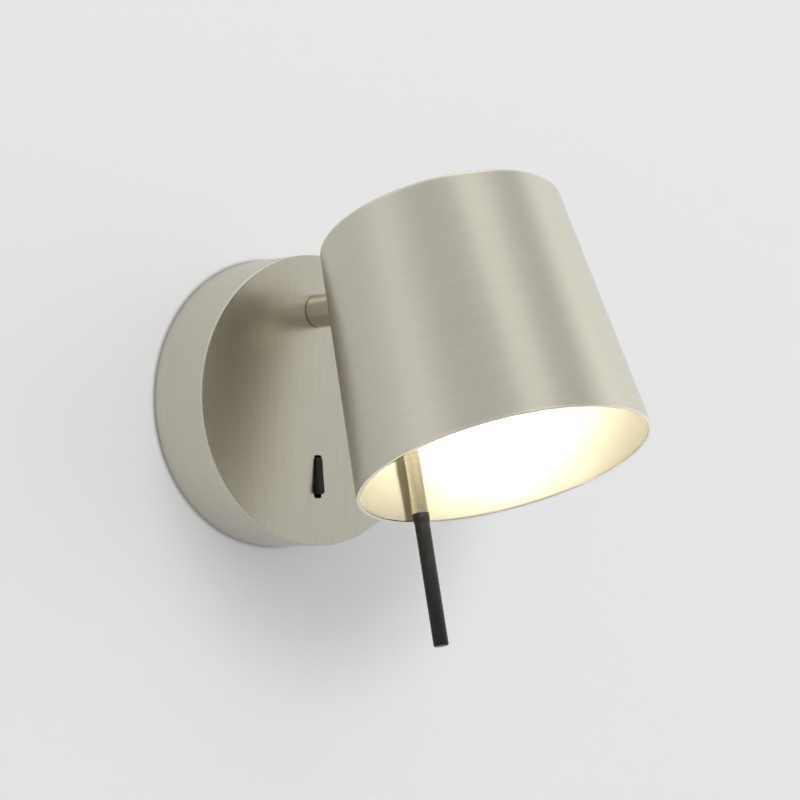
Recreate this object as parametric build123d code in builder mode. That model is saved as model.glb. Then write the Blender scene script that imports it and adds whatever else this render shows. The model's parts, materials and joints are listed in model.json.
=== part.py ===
from build123d import *
from math import cos, radians, sin, tan
import os

os.makedirs("parts", exist_ok=True)

# A bedside wall reading lamp, in millimetres. The wall is the XZ plane, +Z is up and the lamp
# stands out from the wall along -Y. The origin is the middle of the backplate, on the wall.
# A "depth" below is a distance out from the wall, so a point at depth 30 has y = -30.

# Backplate cover, a drum of thin sheet
cover_radius = 60.0
cover_depth = 31.9
cover_sheet = 1.2
cover_edge_radius = 0.4
wall_gap = 0.5
screw_fit = 0.05
cover_inside_radius = cover_radius - cover_sheet
cover_inside_depth = cover_depth - cover_sheet

# Wall bracket inside the cover
bracket_sheet = 2.0
bracket_radius = 54.0
tab_width = 14.0
tab_outside = 58.0
tab_depth = 13.0
tab_bend_radius = 1.5
cable_hole_radius = 11.0
wall_slot_spacing = 84.0
wall_slot_width = 4.5
wall_slot_length = 10.0
grub_depth = 7.0
grub_radius = 1.95
grub_start = 55.2
grub_end = 59.7
grub_point = 0.5
grub_socket_depth = 1.6
hex_socket_radius = 1.15
grommet_lip = 2.5
grommet_lip_height = 1.6
grommet_wall = 2.5

# Terminal block and earth point, placed by x and z on the bracket
block_x = 28.0
block_z = -20.0
block_size = (26.0, 16.0, 14.0)
pole_pitch = 8.0
pole_depth = 9.0
pole_screw_radius = 1.25
pole_screw_spread = 3.5
sleeve_radius = 2.25
sleeve_bore_radius = 1.4
sleeve_length = 13.0
block_screw_radius = 1.2
block_screw_head_radius = 2.2
block_screw_sink = 2.0
earth_x = 24.0
earth_z = 18.0
earth_screw_radius = 1.95
earth_head_radius = 3.6
earth_head_height = 2.4
earth_tag_radius = 4.3
earth_tag_sheet = 0.8

# Rocker switch
switch_z = -31.6
slot_size = (3.85, 17.6)
slot_corner_radius = 0.8
rocker_width = 3.6
rocker_length = 15.3
rocker_front_depth = 33.7
rocker_pivot_depth = 28.4
rocker_rest_tilt = 6.5
rocker_tail = 2.2
rocker_front_corner = 1.5
rocker_tail_corner = 0.6
rocker_edge_radius = 0.4
switch_ear_spacing = 26.0
switch_ear_sheet = 1.5
switch_width = 9.0
switch_plate_height = 32.0
switch_body_height = 20.0
switch_back_depth = 16.5
switch_well = (4.4, 17.0)
switch_well_depth = 24.6
switch_pin_radius = 0.75
switch_pin_length = 8.8
switch_tab_end = 10.5
switch_tab_size = (4.8, 0.8)
switch_tab_spread = 5.0
switch_stud_radius = 1.25
switch_stud_length = 5.1
switch_nut_height = 2.0

# Arm and its swivel
arm_height = 36.8
arm_radius = 7.0
arm_bore_radius = 5.8
arm_root_depth = 32.2
arm_end_depth = 56.5
arm_edge_radius = 0.2
arm_plug_radius = arm_bore_radius - 0.02
spigot_radius = 4.95
spigot_hole_radius = 5.1
spigot_bore_radius = 3.0
spigot_flat = 4.2
spigot_plug_length = 10.0
spigot_inner_end = 16.0
outer_washer_radius = 6.5
inner_washer_radius = 9.0
inner_washer_sheet = 0.8
stop_washer_radius = 8.5
stop_washer_reach = 13.0
stop_washer_sheet = 1.0
stop_pin_radius = 1.5
stop_pin_orbit = 11.2
stop_pin_length = 4.0
stop_sector_half_angle = 82.0
spring_washer_rise = 0.6
spring_washer_bore_radius = 5.2
swivel_nut_half_flats = 7.0
swivel_nut_corner_radius = 8.3
swivel_nut_bevel = (1.0, 0.8)
swivel_nut_thickness = 5.0

# Fork and head pivot
pivot_depth = 75.3
fork_width = 9.0
fork_height = 10.0
fork_gap = 4.6
fork_root_depth = 67.3
fork_plug_length = 11.0
fork_shoulder_height = 1.0
fork_shoulder_taper = 12.0
neck_radius = 4.5
neck_bore_radius = 2.5
eye_width = 4.2
eye_radius = 4.3
pivot_radius = 1.5
pivot_hole_radius = 1.55
pivot_head_radius = 2.8
pivot_head_height = 1.6
pivot_washer_radius = 4.2
pivot_spring_radius = 3.2
pivot_spring_height = 0.8
pivot_nut_half_flats = 2.75
pivot_nut_thickness = 2.6
pivot_thread_end = 0.6

# Shade, in the head's own frame: up along the shade's axis from the middle of its rim
head_tilt = 21.15
shade_rim_radius = 57.8
shade_top_radius = 48.4
shade_height = 102.1
shade_wall = 1.5
shade_top_edge_radius = 1.2
shade_rim_edge_radius = 0.15
pivot_rear = 39.3
pivot_up = 87.6
shade_slot_width = 10.0
shade_slot_low = 80.6
shade_slot_high = 100.2
shade_stud_offset = 19.0

# Strap under the shade's top, and what hangs from it
strap_sheet = 2.0
strap_width = 20.0
strap_front = -27.0
strap_rear = 43.0
strap_corner_radius = 8.0
strap_top = shade_height - shade_wall
strap_bottom = strap_top - strap_sheet
knuckle_screw_rear = 30.3
knuckle_screw_spread = 3.5
knuckle_pad_front = -15.5
knuckle_pad_rear = -5.9
knuckle_pad_height = 6.0
knuckle_pad_width = 12.0
stem_boss_radius = 3.5
stem_boss_start = 7.2
stem_boss_floor = 8.0
sunk_screw_head_radius = 2.85
sunk_screw_radius = 1.5
sunk_screw_length = 7.4
shade_stud_radius = 1.95
shade_stud_length = 6.4
shade_nut_half_flats = 3.5
shade_nut_height = 3.2
holder_size = (22.0, 15.0)
holder_bottom = strap_bottom - 20.0
holder_recess = 3.0
holder_recess_size = (16.2, 10.8)
contact_radius = 1.9
contact_bore_radius = 1.1
contact_length = 7.5
pin_spread = 4.5
pin_radius = 0.75
pin_length = 9.0
bulb_radius = 8.0
bulb_glass = 0.8
bulb_tip = 31.6
bulb_neck = 66.6
bulb_collar = 72.6
bulb_collar_radius = 8.6
bulb_base_size = (15.6, 10.2)
bulb_board_size = (8.0, 1.6, 28.0)

# Stem and handle, measured along the stem from the head pivot
stem_tilt = 13.42
stem_radius = 3.2
stem_start = 14.5
stem_end = 86.9
rod_radius = 1.95
rod_start = 8.2
handle_end = 139.8
handle_radius = 3.0
handle_edge_radius = 0.5
handle_floor = 2.0
collar_radius = 3.4
collar_length = 2.0
collar_taper_length = 2.2

# Wires
wire_radius = 0.9
wire_spread = 1.1
arm_wire_start = 12.0


def save(piece, label):
    """Label a finished piece and write its STEP file."""
    piece.part.label = label
    export_step(piece.part, f"parts/{label}.step")


def section_of(frame):
    """The plane that holds a frame's axis: local x is the radius and local y runs up the axis."""
    return Plane(origin=frame.origin, x_dir=frame.y_dir, z_dir=frame.x_dir)


def axis_of(frame):
    """A frame's own axis, for a revolve."""
    return Axis(frame.origin, frame.z_dir)


def bend_radii(points):
    """One radius for each corner of a wire's route, as large as the two runs beside it allow."""
    corners = [Vector(point) for point in points]
    radii = []
    for before, here, after in zip(corners, corners[1:], corners[2:]):
        turn = (here - before).get_angle(after - here)
        shorter_run = min((here - before).length, (after - here).length)
        radii.append(0.45 * shorter_run / tan(radians(turn / 2)))
    return radii


# Frames: depth frames look out from the wall, the head's frames tilt with the shade
arm_frame = Plane(origin=(0, 0, arm_height), x_dir=(1, 0, 0), z_dir=(0, -1, 0))
head_up = Vector(0, sin(radians(head_tilt)), cos(radians(head_tilt)))
pivot_frame = Plane(origin=(0, -pivot_depth, arm_height), x_dir=(1, 0, 0), z_dir=head_up)
rim_centre = pivot_frame.from_local_coords(Vector(0, -pivot_rear, -pivot_up))
shade_frame = Plane(origin=rim_centre, x_dir=(1, 0, 0), z_dir=head_up)
stem_down = Vector(0, -sin(radians(stem_tilt)), -cos(radians(stem_tilt)))
stem_frame = Plane(origin=pivot_frame.origin, x_dir=(1, 0, 0), z_dir=stem_down)

# ---- Wall unit ----

with BuildPart() as cover:
    with BuildSketch(Plane.XZ.offset(wall_gap)):
        Circle(cover_radius)
    extrude(amount=cover_depth - wall_gap)
    fillet(cover.edges().sort_by(Axis.Y)[0], cover_edge_radius)
    with BuildSketch(Plane.XZ.offset(wall_gap)):
        Circle(cover_inside_radius)
    extrude(amount=cover_inside_depth - wall_gap, mode=Mode.SUBTRACT)
    # the arm's hole and the switch's slot go through the front
    with BuildSketch(Plane.XZ.offset(cover_inside_depth)):
        with Locations((0, arm_height)):
            Circle(spigot_hole_radius)
        with Locations((0, switch_z)):
            RectangleRounded(*slot_size, radius=slot_corner_radius)
    extrude(amount=cover_sheet, mode=Mode.SUBTRACT)
    # a grub screw hole at the top and one at the bottom of the side
    with BuildSketch(Plane.XY):
        with Locations((0, -grub_depth)):
            Circle(grub_radius + 0.15)
    extrude(amount=cover_radius + 1, both=True, mode=Mode.SUBTRACT)
save(cover, "cover")

block_screw_place = (block_x - pole_pitch / 2, block_z)
with BuildPart() as wall_bracket:
    with BuildSketch(Plane.XZ):
        Circle(bracket_radius)
        Rectangle(tab_width, 2 * tab_outside)
    extrude(amount=bracket_sheet)
    with BuildSketch(Plane.XZ):
        with Locations((0, tab_outside - bracket_sheet / 2), (0, bracket_sheet / 2 - tab_outside)):
            Rectangle(tab_width, bracket_sheet)
    extrude(amount=tab_depth)
    bend_edges = wall_bracket.edges().filter_by(Axis.X).group_by(Axis.Y)[-1]
    fillet(bend_edges.filter_by(lambda edge: abs(edge.center().Z) > bracket_radius), tab_bend_radius)
    with BuildSketch(Plane.XZ):
        Circle(cable_hole_radius)
        with Locations((wall_slot_spacing / 2, 0), (-wall_slot_spacing / 2, 0)):
            SlotOverall(wall_slot_length, wall_slot_width)
        with Locations((earth_x, earth_z)):
            Circle(earth_screw_radius + screw_fit)
        with Locations(block_screw_place):
            Circle(block_screw_radius + screw_fit)
    extrude(amount=bracket_sheet, mode=Mode.SUBTRACT)
    with BuildSketch(Plane.XY):
        with Locations((0, -grub_depth)):
            Circle(grub_radius + screw_fit)
    extrude(amount=cover_radius, both=True, mode=Mode.SUBTRACT)
save(wall_bracket, "wall_bracket")

# Two set screws, backed out of the tabs into the cover's side, with a hex socket in the outer end
with BuildPart() as cover_screws:
    with BuildSketch(Plane.XY.offset(grub_start)):
        with Locations((0, -grub_depth)):
            Circle(grub_radius)
    extrude(amount=grub_end - grub_start)
    chamfer(cover_screws.edges().sort_by(Axis.Z)[0], grub_point)
    with BuildSketch(Plane.XY.offset(grub_end)):
        with Locations((0, -grub_depth)):
            RegularPolygon(hex_socket_radius, 6)
    extrude(amount=-grub_socket_depth, mode=Mode.SUBTRACT)
    mirror(about=Plane.XY)
save(cover_screws, "cover_screws")

with BuildPart() as cable_grommet:
    with BuildSketch(Plane.XZ):
        Circle(cable_hole_radius - screw_fit)
    extrude(amount=bracket_sheet)
    with BuildSketch(Plane.XZ.offset(bracket_sheet)):
        Circle(cable_hole_radius + grommet_lip)
    extrude(amount=grommet_lip_height)
    fillet(cable_grommet.edges().sort_by(Axis.Y)[0], 0.7)
    with BuildSketch(Plane.XZ):
        Circle(cable_hole_radius - grommet_wall)
    extrude(amount=bracket_sheet + grommet_lip_height, mode=Mode.SUBTRACT)
save(cable_grommet, "cable_grommet")

poles = [(block_x + pole_pitch * step, block_z) for step in (-1, 0, 1)]
pole_screws = [(x, z + end * pole_screw_spread) for x, z in poles for end in (-1, 1)]
block_front = bracket_sheet + block_size[2]
groove_width = 1.0
groove_depth = 4.0

with BuildPart() as terminal_block:
    with BuildSketch(Plane.XZ.offset(bracket_sheet)):
        with Locations((block_x, block_z)):
            Rectangle(block_size[0], block_size[1])
    extrude(amount=block_size[2])
    fillet(terminal_block.edges().filter_by(Axis.Y), 1.2)
    # bores for the sleeves run up and down
    with BuildSketch(Plane.XY.offset(block_z)):
        with Locations(*[(x, -pole_depth) for x, z in poles]):
            Circle(sleeve_radius + screw_fit)
    extrude(amount=block_size[1], both=True, mode=Mode.SUBTRACT)
    # screw wells from the front, and a groove between the poles
    with BuildSketch(Plane.XZ.offset(pole_depth)):
        with Locations(*pole_screws):
            Circle(1.7)
    extrude(amount=block_front - pole_depth, mode=Mode.SUBTRACT)
    with BuildSketch(Plane.XZ.offset(block_front - groove_depth)):
        with Locations((block_x + pole_pitch / 2, block_z)):
            Rectangle(groove_width, block_size[1])
    extrude(amount=groove_depth, mode=Mode.SUBTRACT)
    # the fixing screw's hole lies between two poles, with its head sunk
    with BuildSketch(Plane.XZ.offset(bracket_sheet)):
        with Locations(block_screw_place):
            Circle(block_screw_radius + 0.15)
    extrude(amount=block_size[2], mode=Mode.SUBTRACT)
    with BuildSketch(Plane.XZ.offset(block_front - block_screw_sink)):
        with Locations(block_screw_place):
            Circle(block_screw_head_radius + 0.2)
    extrude(amount=block_screw_sink, mode=Mode.SUBTRACT)
save(terminal_block, "terminal_block")

with BuildPart() as terminal_sleeves:
    with BuildSketch(Plane.XY.offset(block_z - sleeve_length / 2)):
        with Locations(*[(x, -pole_depth) for x, z in poles]):
            Circle(sleeve_radius)
            Circle(sleeve_bore_radius, mode=Mode.SUBTRACT)
    extrude(amount=sleeve_length)
    with BuildSketch(Plane.XZ.offset(pole_depth)):
        with Locations(*pole_screws):
            Circle(pole_screw_radius + screw_fit)
    extrude(amount=sleeve_radius + 0.75, mode=Mode.SUBTRACT)
save(terminal_sleeves, "terminal_sleeves")

pole_screw_length = 5.4
with BuildPart() as terminal_screws:
    with BuildSketch(Plane.XZ.offset(pole_depth + 0.4)):
        with Locations(*pole_screws):
            Circle(pole_screw_radius)
    extrude(amount=pole_screw_length)
    with BuildSketch(Plane.XZ.offset(pole_depth + 0.4 + pole_screw_length)):
        with Locations(*pole_screws):
            Rectangle(2 * pole_screw_radius + 0.1, 0.5)
    extrude(amount=-0.8, mode=Mode.SUBTRACT)
save(terminal_screws, "terminal_screws")

with BuildPart() as terminal_block_screw:
    with BuildSketch(Plane.XZ.offset(0.2)):
        with Locations(block_screw_place):
            Circle(block_screw_radius)
    extrude(amount=block_front - block_screw_sink - 0.2)
    with BuildSketch(Plane.XZ.offset(block_front - block_screw_sink)):
        with Locations(block_screw_place):
            Circle(block_screw_head_radius)
    extrude(amount=block_screw_sink - 0.4)
    with BuildSketch(Plane.XZ.offset(block_front - 0.4)):
        with Locations(block_screw_place):
            Rectangle(0.6, 2 * block_screw_head_radius + 0.2)
    extrude(amount=-0.8, mode=Mode.SUBTRACT)
save(terminal_block_screw, "terminal_block_screw")

with BuildPart() as earth_tag:
    with BuildSketch(Plane.XZ.offset(bracket_sheet)):
        with Locations((earth_x, earth_z)):
            Circle(earth_tag_radius)
        with Locations((earth_x, earth_z - 6.0)):
            Rectangle(3.4, 6.0)
        with Locations((earth_x, earth_z)):
            Circle(earth_screw_radius + 0.15, mode=Mode.SUBTRACT)
    extrude(amount=earth_tag_sheet)
save(earth_tag, "earth_tag")

with BuildPart() as earth_screw:
    with BuildSketch(Plane.XZ.offset(0.2)):
        with Locations((earth_x, earth_z)):
            Circle(earth_screw_radius)
    extrude(amount=bracket_sheet + earth_tag_sheet - 0.2)
    with BuildSketch(Plane.XZ.offset(bracket_sheet + earth_tag_sheet)):
        with Locations((earth_x, earth_z)):
            Circle(earth_head_radius)
    extrude(amount=earth_head_height)
    fillet(earth_screw.edges().sort_by(Axis.Y)[0], 0.8)
    with BuildSketch(Plane.XZ.offset(bracket_sheet + earth_tag_sheet + earth_head_height)):
        with Locations((earth_x, earth_z)):
            Rectangle(2.2 * earth_head_radius, 1.0)
            Rectangle(1.0, 2.2 * earth_head_radius)
    extrude(amount=-earth_head_height / 2, mode=Mode.SUBTRACT)
save(earth_screw, "earth_screw")

# ---- Switch ----

ears = [(0, switch_z + switch_ear_spacing / 2), (0, switch_z - switch_ear_spacing / 2)]
ear_depth = cover_inside_depth - switch_ear_sheet

with BuildPart() as switch_body:
    with BuildSketch(Plane.XZ.offset(ear_depth)):
        with Locations((0, switch_z)):
            RectangleRounded(switch_width, switch_plate_height, radius=3.0)
    extrude(amount=switch_ear_sheet)
    with BuildSketch(Plane.XZ.offset(switch_back_depth)):
        with Locations((0, switch_z)):
            RectangleRounded(switch_width, switch_body_height, radius=0.8)
    extrude(amount=ear_depth - switch_back_depth)
    with BuildSketch(Plane.XZ.offset(switch_well_depth)):
        with Locations((0, switch_z)):
            Rectangle(*switch_well)
    extrude(amount=cover_inside_depth - switch_well_depth, mode=Mode.SUBTRACT)
    with BuildSketch(Plane.XZ.offset(ear_depth)):
        with Locations(*ears):
            Circle(switch_stud_radius + 0.1)
    extrude(amount=switch_ear_sheet, mode=Mode.SUBTRACT)
    with BuildSketch(Plane.YZ):
        with Locations((-rocker_pivot_depth, switch_z)):
            Circle(switch_pin_radius + 0.03)
    extrude(amount=switch_width, both=True, mode=Mode.SUBTRACT)
save(switch_body, "switch_body")

with BuildPart() as switch_pin:
    with BuildSketch(Plane.YZ):
        with Locations((-rocker_pivot_depth, switch_z)):
            Circle(switch_pin_radius)
    extrude(amount=switch_pin_length / 2, both=True)
save(switch_pin, "switch_pin")

with BuildPart() as switch_tabs:
    with BuildSketch(Plane.XZ.offset(switch_tab_end)):
        with Locations((0, switch_z + switch_tab_spread), (0, switch_z - switch_tab_spread)):
            Rectangle(*switch_tab_size)
    extrude(amount=switch_back_depth - switch_tab_end)
    with BuildSketch(Plane.XY.offset(switch_z)):
        with Locations((0, -switch_tab_end - 2.5)):
            Circle(0.8)
    extrude(amount=switch_body_height / 2, both=True, mode=Mode.SUBTRACT)
save(switch_tabs, "switch_tabs")

# Studs welded to the inside of the cover's front carry the switch by its ears
with BuildPart() as switch_studs:
    with BuildSketch(Plane.XZ.offset(cover_inside_depth)):
        with Locations(*ears):
            Circle(switch_stud_radius)
    extrude(amount=-switch_stud_length)
save(switch_studs, "switch_studs")

with BuildPart() as switch_nuts:
    with BuildSketch(Plane.XZ.offset(ear_depth - switch_nut_height)):
        with Locations(*ears):
            RegularPolygon(2 * switch_stud_radius, 6, major_radius=False)
            Circle(switch_stud_radius + screw_fit, mode=Mode.SUBTRACT)
    extrude(amount=switch_nut_height)
save(switch_nuts, "switch_nuts")

# The rocker rests with its lower end out: local x runs up its face and local y points outward
rocker_up = Vector(0, sin(radians(rocker_rest_tilt)), cos(radians(rocker_rest_tilt)))
rocker_frame = Plane(origin=(0, -rocker_pivot_depth, switch_z), x_dir=rocker_up, z_dir=(1, 0, 0))
rocker_reach = rocker_front_depth - rocker_pivot_depth

with BuildPart() as switch_rocker:
    with BuildSketch(rocker_frame) as rocker_side:
        with Locations((0, (rocker_reach - rocker_tail) / 2)):
            Rectangle(rocker_length, rocker_reach + rocker_tail)
        fillet(rocker_side.vertices().group_by(Axis.Y)[-1], rocker_front_corner)
        fillet(rocker_side.vertices().group_by(Axis.Y)[0], rocker_tail_corner)
    extrude(amount=rocker_width / 2, both=True)
    side_edges = switch_rocker.faces().filter_by(Axis.X).edges()
    fillet(side_edges, rocker_edge_radius)
    with BuildSketch(rocker_frame):
        Circle(switch_pin_radius + screw_fit)
    extrude(amount=rocker_width, both=True, mode=Mode.SUBTRACT)
save(switch_rocker, "switch_rocker")

# ---- Swivel and arm ----

with BuildPart() as swivel_outer_washer:
    with BuildSketch(arm_frame.offset(cover_depth)):
        Circle(outer_washer_radius)
        Circle(spigot_hole_radius, mode=Mode.SUBTRACT)
    extrude(amount=arm_root_depth - cover_depth)
save(swivel_outer_washer, "swivel_outer_washer")

with BuildPart() as arm_tube:
    with BuildSketch(arm_frame.offset(arm_root_depth)):
        Circle(arm_radius)
        Circle(arm_bore_radius, mode=Mode.SUBTRACT)
    extrude(amount=arm_end_depth - arm_root_depth)
    rims = arm_tube.edges().filter_by(GeomType.CIRCLE).filter_by(lambda edge: edge.radius > arm_bore_radius)
    fillet(rims, arm_edge_radius)
save(arm_tube, "arm_tube")

# Hollow threaded spigot: pressed into the tube, through the cover, with a flat along its thread
spigot_shoulder = arm_root_depth + 0.6
with BuildPart() as arm_spigot:
    with BuildSketch(arm_frame.offset(spigot_shoulder)):
        Circle(arm_plug_radius)
    extrude(amount=spigot_plug_length)
    with BuildSketch(arm_frame.offset(spigot_inner_end)):
        Circle(spigot_radius)
    extrude(amount=spigot_shoulder - spigot_inner_end)
    with BuildSketch(arm_frame.offset(spigot_inner_end)):
        with Locations((0, spigot_flat + 5.0)):
            Rectangle(20.0, 10.0)
    extrude(amount=cover_inside_depth - spigot_inner_end, mode=Mode.SUBTRACT)
    with BuildSketch(arm_frame.offset(spigot_inner_end)):
        Circle(spigot_bore_radius)
    extrude(amount=arm_end_depth, mode=Mode.SUBTRACT)
save(arm_spigot, "arm_spigot")

inner_washer_depth = cover_inside_depth - inner_washer_sheet
with BuildPart() as swivel_inner_washer:
    with BuildSketch(arm_frame.offset(inner_washer_depth)):
        Circle(inner_washer_radius)
        Circle(spigot_hole_radius, mode=Mode.SUBTRACT)
    extrude(amount=inner_washer_sheet)
save(swivel_inner_washer, "swivel_inner_washer")

# The sector of this washer meets the stop pin after a quarter turn either way
stop_washer_depth = inner_washer_depth - stop_washer_sheet
sector_x = 40.0 * sin(radians(stop_sector_half_angle))
sector_y = -40.0 * cos(radians(stop_sector_half_angle))
with BuildPart() as swivel_stop_washer:
    with BuildSketch(arm_frame.offset(stop_washer_depth)):
        Circle(stop_washer_reach)
        Polygon(
            (0, 0), (-sector_x, sector_y), (-40, -40), (40, -40), (sector_x, sector_y),
            align=None, mode=Mode.INTERSECT,
        )
        Circle(stop_washer_radius)
        Circle(spigot_radius + 0.1, mode=Mode.SUBTRACT)
        # a flat in the bore keys the washer to the spigot
        with Locations((0, spigot_flat + 0.1 + 0.75)):
            Rectangle(7.0, 1.5)
    extrude(amount=stop_washer_sheet)
save(swivel_stop_washer, "swivel_stop_washer")

with BuildPart() as swivel_stop_pin:
    with BuildSketch(arm_frame.offset(cover_inside_depth - stop_pin_length)):
        with Locations((0, stop_pin_orbit)):
            Circle(stop_pin_radius)
    extrude(amount=stop_pin_length)
save(swivel_stop_pin, "swivel_stop_pin")

spring_washer_depth = stop_washer_depth - 2 * spring_washer_rise
with BuildPart() as swivel_spring_washer:
    with BuildSketch(section_of(arm_frame)):
        Polygon(
            (spring_washer_bore_radius, spring_washer_depth),
            (stop_washer_radius, spring_washer_depth + spring_washer_rise),
            (stop_washer_radius, stop_washer_depth),
            (spring_washer_bore_radius, stop_washer_depth - spring_washer_rise),
            align=None,
        )
    revolve(axis=axis_of(arm_frame))
save(swivel_spring_washer, "swivel_spring_washer")

nut_back = spring_washer_depth - swivel_nut_thickness
bevel_across, bevel_along = swivel_nut_bevel
with BuildPart() as swivel_nut:
    with BuildSketch(arm_frame.offset(nut_back)):
        RegularPolygon(swivel_nut_half_flats, 6, major_radius=False)
    extrude(amount=swivel_nut_thickness)
    with BuildSketch(section_of(arm_frame)):
        Polygon(
            (0, nut_back),
            (swivel_nut_corner_radius - bevel_across, nut_back),
            (swivel_nut_corner_radius, nut_back + bevel_along),
            (swivel_nut_corner_radius, spring_washer_depth - bevel_along),
            (swivel_nut_corner_radius - bevel_across, spring_washer_depth),
            (0, spring_washer_depth),
            align=None,
        )
    revolve(axis=axis_of(arm_frame), mode=Mode.INTERSECT)
    with BuildSketch(arm_frame.offset(nut_back)):
        Circle(spigot_radius + screw_fit)
    extrude(amount=swivel_nut_thickness, mode=Mode.SUBTRACT)
save(swivel_nut, "swivel_nut")

# The fork's plug is pressed into the tube, its neck goes through the shade's slot
with BuildPart() as arm_fork:
    with BuildSketch(arm_frame.offset(arm_end_depth - fork_plug_length)):
        Circle(arm_plug_radius)
    extrude(amount=fork_plug_length)
    with BuildSketch(arm_frame.offset(arm_end_depth)):
        Circle(arm_radius - 0.2)
    extrude(amount=fork_shoulder_height, taper=fork_shoulder_taper)
    with BuildSketch(arm_frame.offset(arm_end_depth)):
        Circle(neck_radius)
    extrude(amount=fork_root_depth - arm_end_depth)
    with BuildSketch(Plane.YZ):
        with Locations((-(fork_root_depth + pivot_depth) / 2, arm_height)):
            Rectangle(pivot_depth - fork_root_depth, fork_height)
        with Locations((-pivot_depth, arm_height)):
            Circle(fork_height / 2)
    extrude(amount=fork_width / 2, both=True)
    with BuildSketch(Plane.YZ):
        with Locations((-(fork_root_depth + 10.0), arm_height)):
            Rectangle(20.0, 20.0)
    extrude(amount=fork_gap / 2, both=True, mode=Mode.SUBTRACT)
    with BuildSketch(Plane.YZ):
        with Locations((-pivot_depth, arm_height)):
            Circle(pivot_hole_radius)
    extrude(amount=fork_width, both=True, mode=Mode.SUBTRACT)
    with BuildSketch(arm_frame):
        Circle(neck_bore_radius)
    extrude(amount=fork_root_depth + 1.0, mode=Mode.SUBTRACT)
save(arm_fork, "arm_fork")

# ---- Head pivot ----

pivot_side = Plane(origin=pivot_frame.origin, x_dir=(0, 1, 0), z_dir=(1, 0, 0))
pivot_screw_length = fork_width + pivot_spring_height + pivot_nut_thickness + pivot_thread_end

with BuildPart() as pivot_screw:
    with BuildSketch(pivot_side.offset(fork_width / 2)):
        Circle(pivot_radius)
    extrude(amount=-pivot_screw_length)
    with BuildSketch(pivot_side.offset(fork_width / 2)):
        Circle(pivot_head_radius)
    extrude(amount=pivot_head_height)
    fillet(pivot_screw.edges().sort_by(Axis.X)[-1], 0.5)
    with BuildSketch(pivot_side.offset(fork_width / 2 + pivot_head_height)):
        RegularPolygon(hex_socket_radius, 6)
    extrude(amount=-1.0, mode=Mode.SUBTRACT)
save(pivot_screw, "pivot_screw")

with BuildPart() as pivot_washers:
    with BuildSketch(pivot_side.offset(eye_width / 2)):
        Circle(pivot_washer_radius)
        Circle(pivot_hole_radius, mode=Mode.SUBTRACT)
    extrude(amount=(fork_gap - eye_width) / 2)
    mirror(about=Plane.YZ)
save(pivot_washers, "pivot_washers")

with BuildPart() as pivot_spring_washer:
    with BuildSketch(Plane(origin=pivot_side.origin, x_dir=(0, 1, 0), z_dir=(0, 0, 1))):
        Polygon(
            (pivot_radius + 0.1, fork_width / 2 + pivot_spring_height / 2),
            (pivot_spring_radius, fork_width / 2),
            (pivot_spring_radius, fork_width / 2 + pivot_spring_height / 2),
            (pivot_radius + 0.1, fork_width / 2 + pivot_spring_height),
            align=None,
        )
    revolve(axis=Axis(pivot_side.origin, (-1, 0, 0)))
save(pivot_spring_washer, "pivot_spring_washer")

with BuildPart() as pivot_nut:
    with BuildSketch(pivot_side.offset(-fork_width / 2 - pivot_spring_height - pivot_nut_thickness)):
        RegularPolygon(pivot_nut_half_flats, 6, major_radius=False)
        Circle(pivot_radius + screw_fit, mode=Mode.SUBTRACT)
    extrude(amount=pivot_nut_thickness)
save(pivot_nut, "pivot_nut")

# ---- Head ----

pad_top = strap_bottom - pivot_up
pad_middle = (knuckle_pad_front + knuckle_pad_rear) / 2
knuckle_screw_places = [
    (knuckle_screw_spread, knuckle_screw_rear), (-knuckle_screw_spread, knuckle_screw_rear)
]
strap_stud_places = [(0, shade_stud_offset), (0, -shade_stud_offset)]

with BuildPart() as head_knuckle:
    # the eye and the web that joins it to the pad under the strap
    with BuildSketch(section_of(pivot_frame)):
        Circle(eye_radius)
        Polygon(
            (2.0, 3.6), (knuckle_pad_rear, pad_top), (knuckle_pad_front, pad_top - 3.0),
            (knuckle_pad_front, pad_top - knuckle_pad_height), (-2.0, -3.6),
            align=None,
        )
    extrude(amount=eye_width / 2, both=True)
    with BuildSketch(section_of(pivot_frame)):
        with Locations((pad_middle, pad_top - knuckle_pad_height / 2)):
            Rectangle(knuckle_pad_rear - knuckle_pad_front, knuckle_pad_height)
    extrude(amount=knuckle_pad_width / 2, both=True)
    # the boss that takes the stem
    with BuildSketch(section_of(stem_frame)):
        with Locations((0, 4.0)):
            Rectangle(6.4, 8.0)
    extrude(amount=eye_width / 2, both=True)
    with BuildSketch(stem_frame.offset(stem_boss_start)):
        Circle(stem_boss_radius)
    extrude(amount=stem_start - stem_boss_start)
    with BuildSketch(stem_frame.offset(stem_boss_floor)):
        Circle(rod_radius + screw_fit)
    extrude(amount=stem_start - stem_boss_floor, mode=Mode.SUBTRACT)
    with BuildSketch(pivot_side):
        Circle(pivot_hole_radius)
    extrude(amount=fork_width, both=True, mode=Mode.SUBTRACT)
    with BuildSketch(shade_frame.offset(strap_bottom)):
        with Locations(*knuckle_screw_places):
            Circle(sunk_screw_radius + screw_fit)
    extrude(amount=-knuckle_pad_height, mode=Mode.SUBTRACT)
save(head_knuckle, "head_knuckle")

with BuildPart() as head_strap:
    with BuildSketch(shade_frame.offset(strap_bottom)):
        with Locations((0, (strap_front + strap_rear) / 2)):
            RectangleRounded(strap_width, strap_rear - strap_front, radius=strap_corner_radius)
        with Locations(*strap_stud_places):
            Circle(shade_stud_radius + 0.2, mode=Mode.SUBTRACT)
    extrude(amount=strap_sheet)
    with Locations(shade_frame.offset(strap_top)):
        with Locations(*knuckle_screw_places, (0, 0)):
            CounterSinkHole(sunk_screw_radius + 0.1, sunk_screw_head_radius + 0.15, counter_sink_angle=90)
save(head_strap, "head_strap")


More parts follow.
